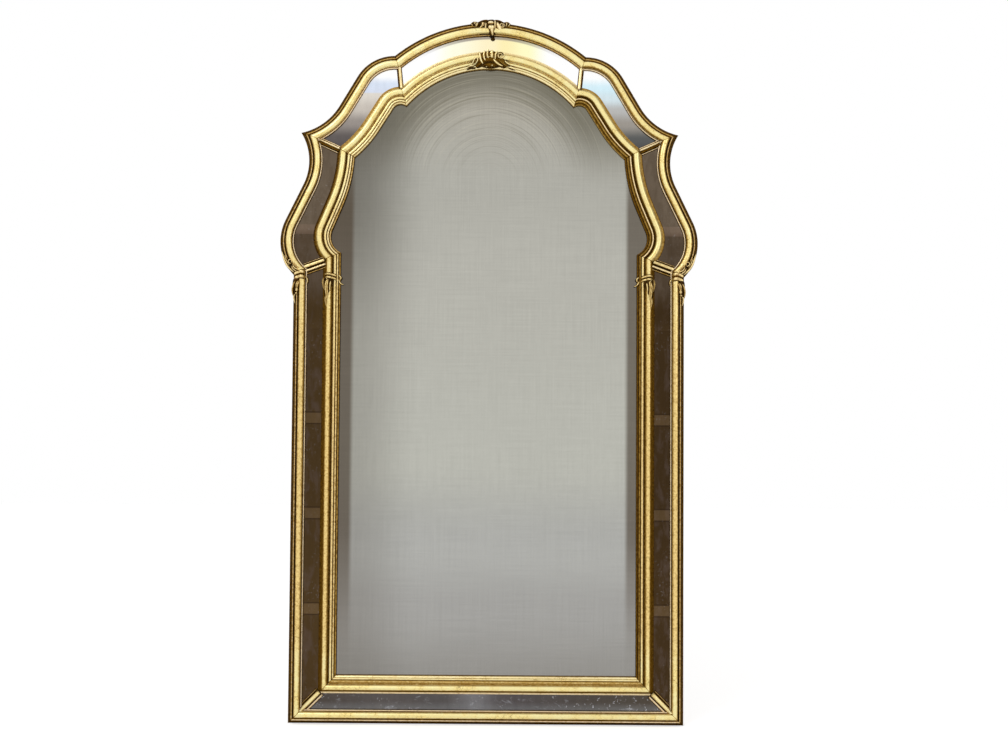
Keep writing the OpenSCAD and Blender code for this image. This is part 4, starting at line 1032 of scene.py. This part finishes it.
def shoulderTone(place):
    # a painted reflection: white at the notch, through blue-grey and a level edge to dark at the ear
    x, _, z = axes(place)
    left = along(z, 1.13, 1.28, [
        (0.0, 84, 78, 78), (0.16, 98, 92, 90), (0.36, 150, 142, 136), (0.55, 200, 192, 182),
        (0.745, 222, 216, 206), (0.77, 214, 222, 238), (0.87, 214, 224, 240), (1.0, 255, 255, 255)])
    right = along(z, 1.13, 1.28, [
        (0.0, 76, 76, 78), (0.16, 92, 93, 92), (0.36, 158, 152, 144), (0.55, 186, 186, 184),
        (0.7, 212, 228, 234), (0.84, 214, 240, 250), (1.0, 255, 255, 255)])
    return mixColour(ramp(x, -0.05, 0.05), left, right)


def crestTone(place):
    # a painted reflection: white ends and a pale warm middle, with a thin grey line under the outer moulding
    # that is a painted reflection of its shaded underside
    x, _, z = axes(place)
    tone = along(x, -0.12, 0.12, [
        (0.0, 255, 255, 255), (0.2, 255, 253, 228), (0.5, 254, 242, 200), (0.62, 254, 240, 182),
        (0.8, 255, 252, 200), (1.0, 255, 255, 255)])
    reach, aside = distance(x, z, 1.084), maths("ABSOLUTE", x)
    return tint(tone, (140, 130, 128), 0.8, (reach, 0.2675, 0.27), (aside, 0.16, 0.03))


def bottomTone(place):
    # a dark painted reflection with a paler middle, a pale lower edge that is a painted reflection of the lit
    # moulding below it, and grey blots
    x, _, z = axes(place)
    tone = along(x, -0.36, 0.36, [
        (0.0, 72, 65, 60), (0.25, 84, 79, 77), (0.39, 84, 80, 79), (0.47, 108, 106, 108),
        (0.55, 80, 75, 75), (0.85, 73, 67, 61), (1.0, 72, 64, 55)])
    tone = tint(tone, (120, 122, 124), 0.35, (z, 0.045, 0.03))
    blot = stretched(place, (30, 30, 60), 6, 0.7, 0.6)
    return tint(tone, (160, 162, 168), 0.5, (blot, 0.57, 0.72))


def dress(material, *names):
    for name in names:
        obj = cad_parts[name]
        obj.data.materials.clear()
        obj.data.materials.append(material)


# each plate's colour is a painted reflection, with painted shade, under the silvering's clouds, streaks and
# spots
for label, toneOf, mottle, streaks, spots, nodes in (
        ("centre", centreTone, 0.14, 0.3, 0.0, ["centre_plate"]),
        ("side", sideTone, 0.5, 0.25, 0.12,
         ["side_plate_left", "side_plate_right", "lobe_plate_left", "lobe_plate_right"]),
        ("shoulder", shoulderTone, 0.3, 0.1, 0.0, ["shoulder_plate_left", "shoulder_plate_right"]),
        ("crest", crestTone, 0.04, 0.03, 0.0, ["crest_plate"]),
        ("bottom", bottomTone, 0.7, 0.2, 0.6, ["bottom_plate"])):
    material, place, shader = newMaterial(label + " silvering")
    glass = useGroup(silveringGroup, {"Place": place, "Colour": toneOf(place), "Mottle": mottle,
                                      "Streaks": streaks, "Spots": spots})
    surface(shader, glass, 0.05, 0.001, Metallic=1.0)
    dress(material, *nodes)
print("plates ready")


# Pine of the base frame, blocks and backboards, with grain along X or Z

def buildPine():
    tree, given, out = newGroup(
        "old pine",
        [("Place", "Vector", None), ("Light", "Color", (0.5, 0.35, 0.2, 1)),
         ("Dark", "Color", (0.25, 0.15, 0.08, 1)), ("Grime", "Float", 0.4)],
        [("Colour", "Color"), ("Roughness", "Float"), ("Height", "Float")])
    place = given["Place"]
    # growth rings: a sine of the place across the grain, bent by slow noise so that their spacing varies
    bent = stretched(place, (4, 4, 0.8), 2, 0.4)
    across = plus(times(axes(place)[0], 150.0), times(bent, 95.0))
    rings = maths("POWER", scaled(maths("SINE", across), 0.5, 0.5), 2.6)
    fibre = stretched(place, (900, 900, 30), 3, 0.6)
    blotch = noise(place, 7, 5, 0.6)
    colour = mixColour(scaled(fibre, 0.4, times(rings, 0.42)), given["Light"], given["Dark"])
    wire(out, {"Colour": tint(colour, (70, 54, 42), given["Grime"], (blotch, 0.42, 0.8)),
               "Roughness": scaled(fibre, 0.2, 0.6), "Height": plus(fibre, times(rings, 0.5))})
    return tree


pineGroup = buildPine()


def woodMaterial(name, light, dark, level):
    material, place, shader = newMaterial(name)
    turn = (0, math.radians(90 if level else 0), 0)
    turned = put("ShaderNodeMapping", {"Vector": place, "Rotation": turn}).outputs[0]
    wood = useGroup(pineGroup, {"Place": turned, "Light": light, "Dark": dark, "Grime": 0.5})
    surface(shader, wood, 0.3, 0.0008)
    return material


uprightPine = woodMaterial("upright pine", rgb(176, 138, 92), rgb(128, 92, 56), False)
levelPine = woodMaterial("level pine", rgb(176, 138, 92), rgb(128, 92, 56), True)
oldBoard = woodMaterial("old board", rgb(150, 118, 82), rgb(104, 78, 52), True)
dress(uprightPine, "base_stile_left", "base_stile_right", "base_lobe_left", "base_lobe_right")
dress(levelPine, "base_crest", "base_shoulder_left", "base_shoulder_right", "base_bottom_rail",
      "plate_blocks")
dress(oldBoard, "backboard_upper", "backboard_middle", "backboard_lower")


def metalMaterial(name, clean, tarnish, rough, scale):
    material, place, shader = newMaterial(name)
    patch = noise(place, scale, 6, 0.6)
    pits = noise(place, scale * 9, 4, 0.6)
    colour = mixColour(ramp(patch, 0.4, 0.65), clean, tarnish)
    surface(shader, {"Colour": colour, "Roughness": scaled(patch, 0.35, rough), "Height": pits}, 0.25, 0.0003,
            Metallic=0.9)
    return material


ironMetal = metalMaterial("old iron", rgb(96, 88, 82), rgb(78, 52, 36), 0.35, 400)
hangerBrass = metalMaterial("hanger brass", rgb(198, 164, 96), rgb(128, 98, 54), 0.2, 160)
dress(ironMetal, "backboard_screws", "hanger_screws")
dress(hangerBrass, "hanger_strap_left", "hanger_strap_right", "hanger_ring_left", "hanger_ring_right")


def feltMaterial():
    material, place, shader = newMaterial("pad felt")
    fuzz = noise(place, 1500, 4, 0.7)
    tuft = noise(place, 300, 4, 0.6)
    colour = mixColour(ramp(tuft, 0.3, 0.7), rgb(150, 112, 78), rgb(108, 78, 54))
    wire(shader, {"Base Color": colour, "Normal": bumpOf(fuzz, 0.6, 0.0006)})
    shader["Roughness"].default_value = 0.95
    shader["Sheen Weight"].default_value = 0.4
    return material


dress(feltMaterial(), "wall_bumpers")
print("wood, metal and felt ready")


# Floor, light and camera
studio = {"floorColour": rgb(246, 246, 245), "floorLift": 0.5, "ambient": 0.5, "keyPower": 24, "fillPower": 8}


def seenRays(tree):
    # 1 for rays that the camera sees directly, in a reflection or through glass
    rays = tree.nodes.new("ShaderNodeLightPath").outputs
    return maths("MAXIMUM", rays["Is Camera Ray"],
                 maths("MAXIMUM", rays["Is Glossy Ray"], rays["Is Transmission Ray"]))


def buildFloor():
    material, place, shader = newMaterial("pale floor")
    colour = mixColour(noise(place, 60, 3), studio["floorColour"], rgb(250, 250, 250))
    lift = times(seenRays(material.node_tree), studio["floorLift"])
    wire(shader, {"Base Color": colour, "Emission Strength": lift})
    shader["Roughness"].default_value = 0.9
    shader["Emission Color"].default_value = (1, 1, 1, 1)
    size, drop = 6.0, -0.0004
    mesh = bpy.data.meshes.new("floor")
    mesh.from_pydata([(-size, -size, drop), (size, -size, drop), (size, size, drop), (-size, size, drop)], [],
                     [[0, 1, 2, 3]])
    mesh.materials.append(material)
    addObject("floor", mesh)


def buildWorld():
    world = bpy.data.worlds.new("studio")
    bpy.context.scene.world = world
    world.use_nodes = True
    tree = world.node_tree
    tree.nodes.clear()
    strength = scaled(seenRays(tree), 1 - studio["ambient"], studio["ambient"])
    background = put("ShaderNodeBackground", {"Color": (1, 1, 1, 1), "Strength": strength})
    tree.links.new(background.outputs[0], tree.nodes.new("ShaderNodeOutputWorld").inputs[0])


def addLamp(name, place, target, size, power):
    lamp = bpy.data.lights.new(name, "AREA")
    lamp.shape = "DISK"
    lamp.size = size
    lamp.energy = power
    x, y, z = np.array(place, float) - np.array(target, float)
    aside = Matrix.Rotation(math.atan2(x, -y), 4, "Z")
    tilt = Matrix.Rotation(math.atan2(math.hypot(x, y), z), 4, "X")
    addObject(name, lamp).matrix_world = Matrix.Translation(place) @ aside @ tilt


def buildCamera():
    camera = bpy.data.cameras.new("camera")
    camera.lens = 42.857
    camera.sensor_width = 36
    camera.clip_start = 0.05
    obj = addObject("camera", camera)
    obj.matrix_world = (Matrix.Translation((0.0321, -2.371, 0.5918))
                        @ Matrix.Rotation(math.radians(0.015), 4, "Z")
                        @ Matrix.Rotation(math.radians(92.064), 4, "X")
                        @ Matrix.Rotation(math.radians(0.403), 4, "Z"))
    bpy.context.scene.camera = obj


buildFloor()
buildWorld()
addLamp("key", (-1.4, -1.9, 2.6), (0, 0, 0.7), 1.2, studio["keyPower"])
addLamp("fill", (1.9, -1.6, 1.4), (0, 0, 0.7), 1.6, studio["fillPower"])
buildCamera()
bpy.context.scene.view_settings.view_transform = "Standard"
print("studio ready")
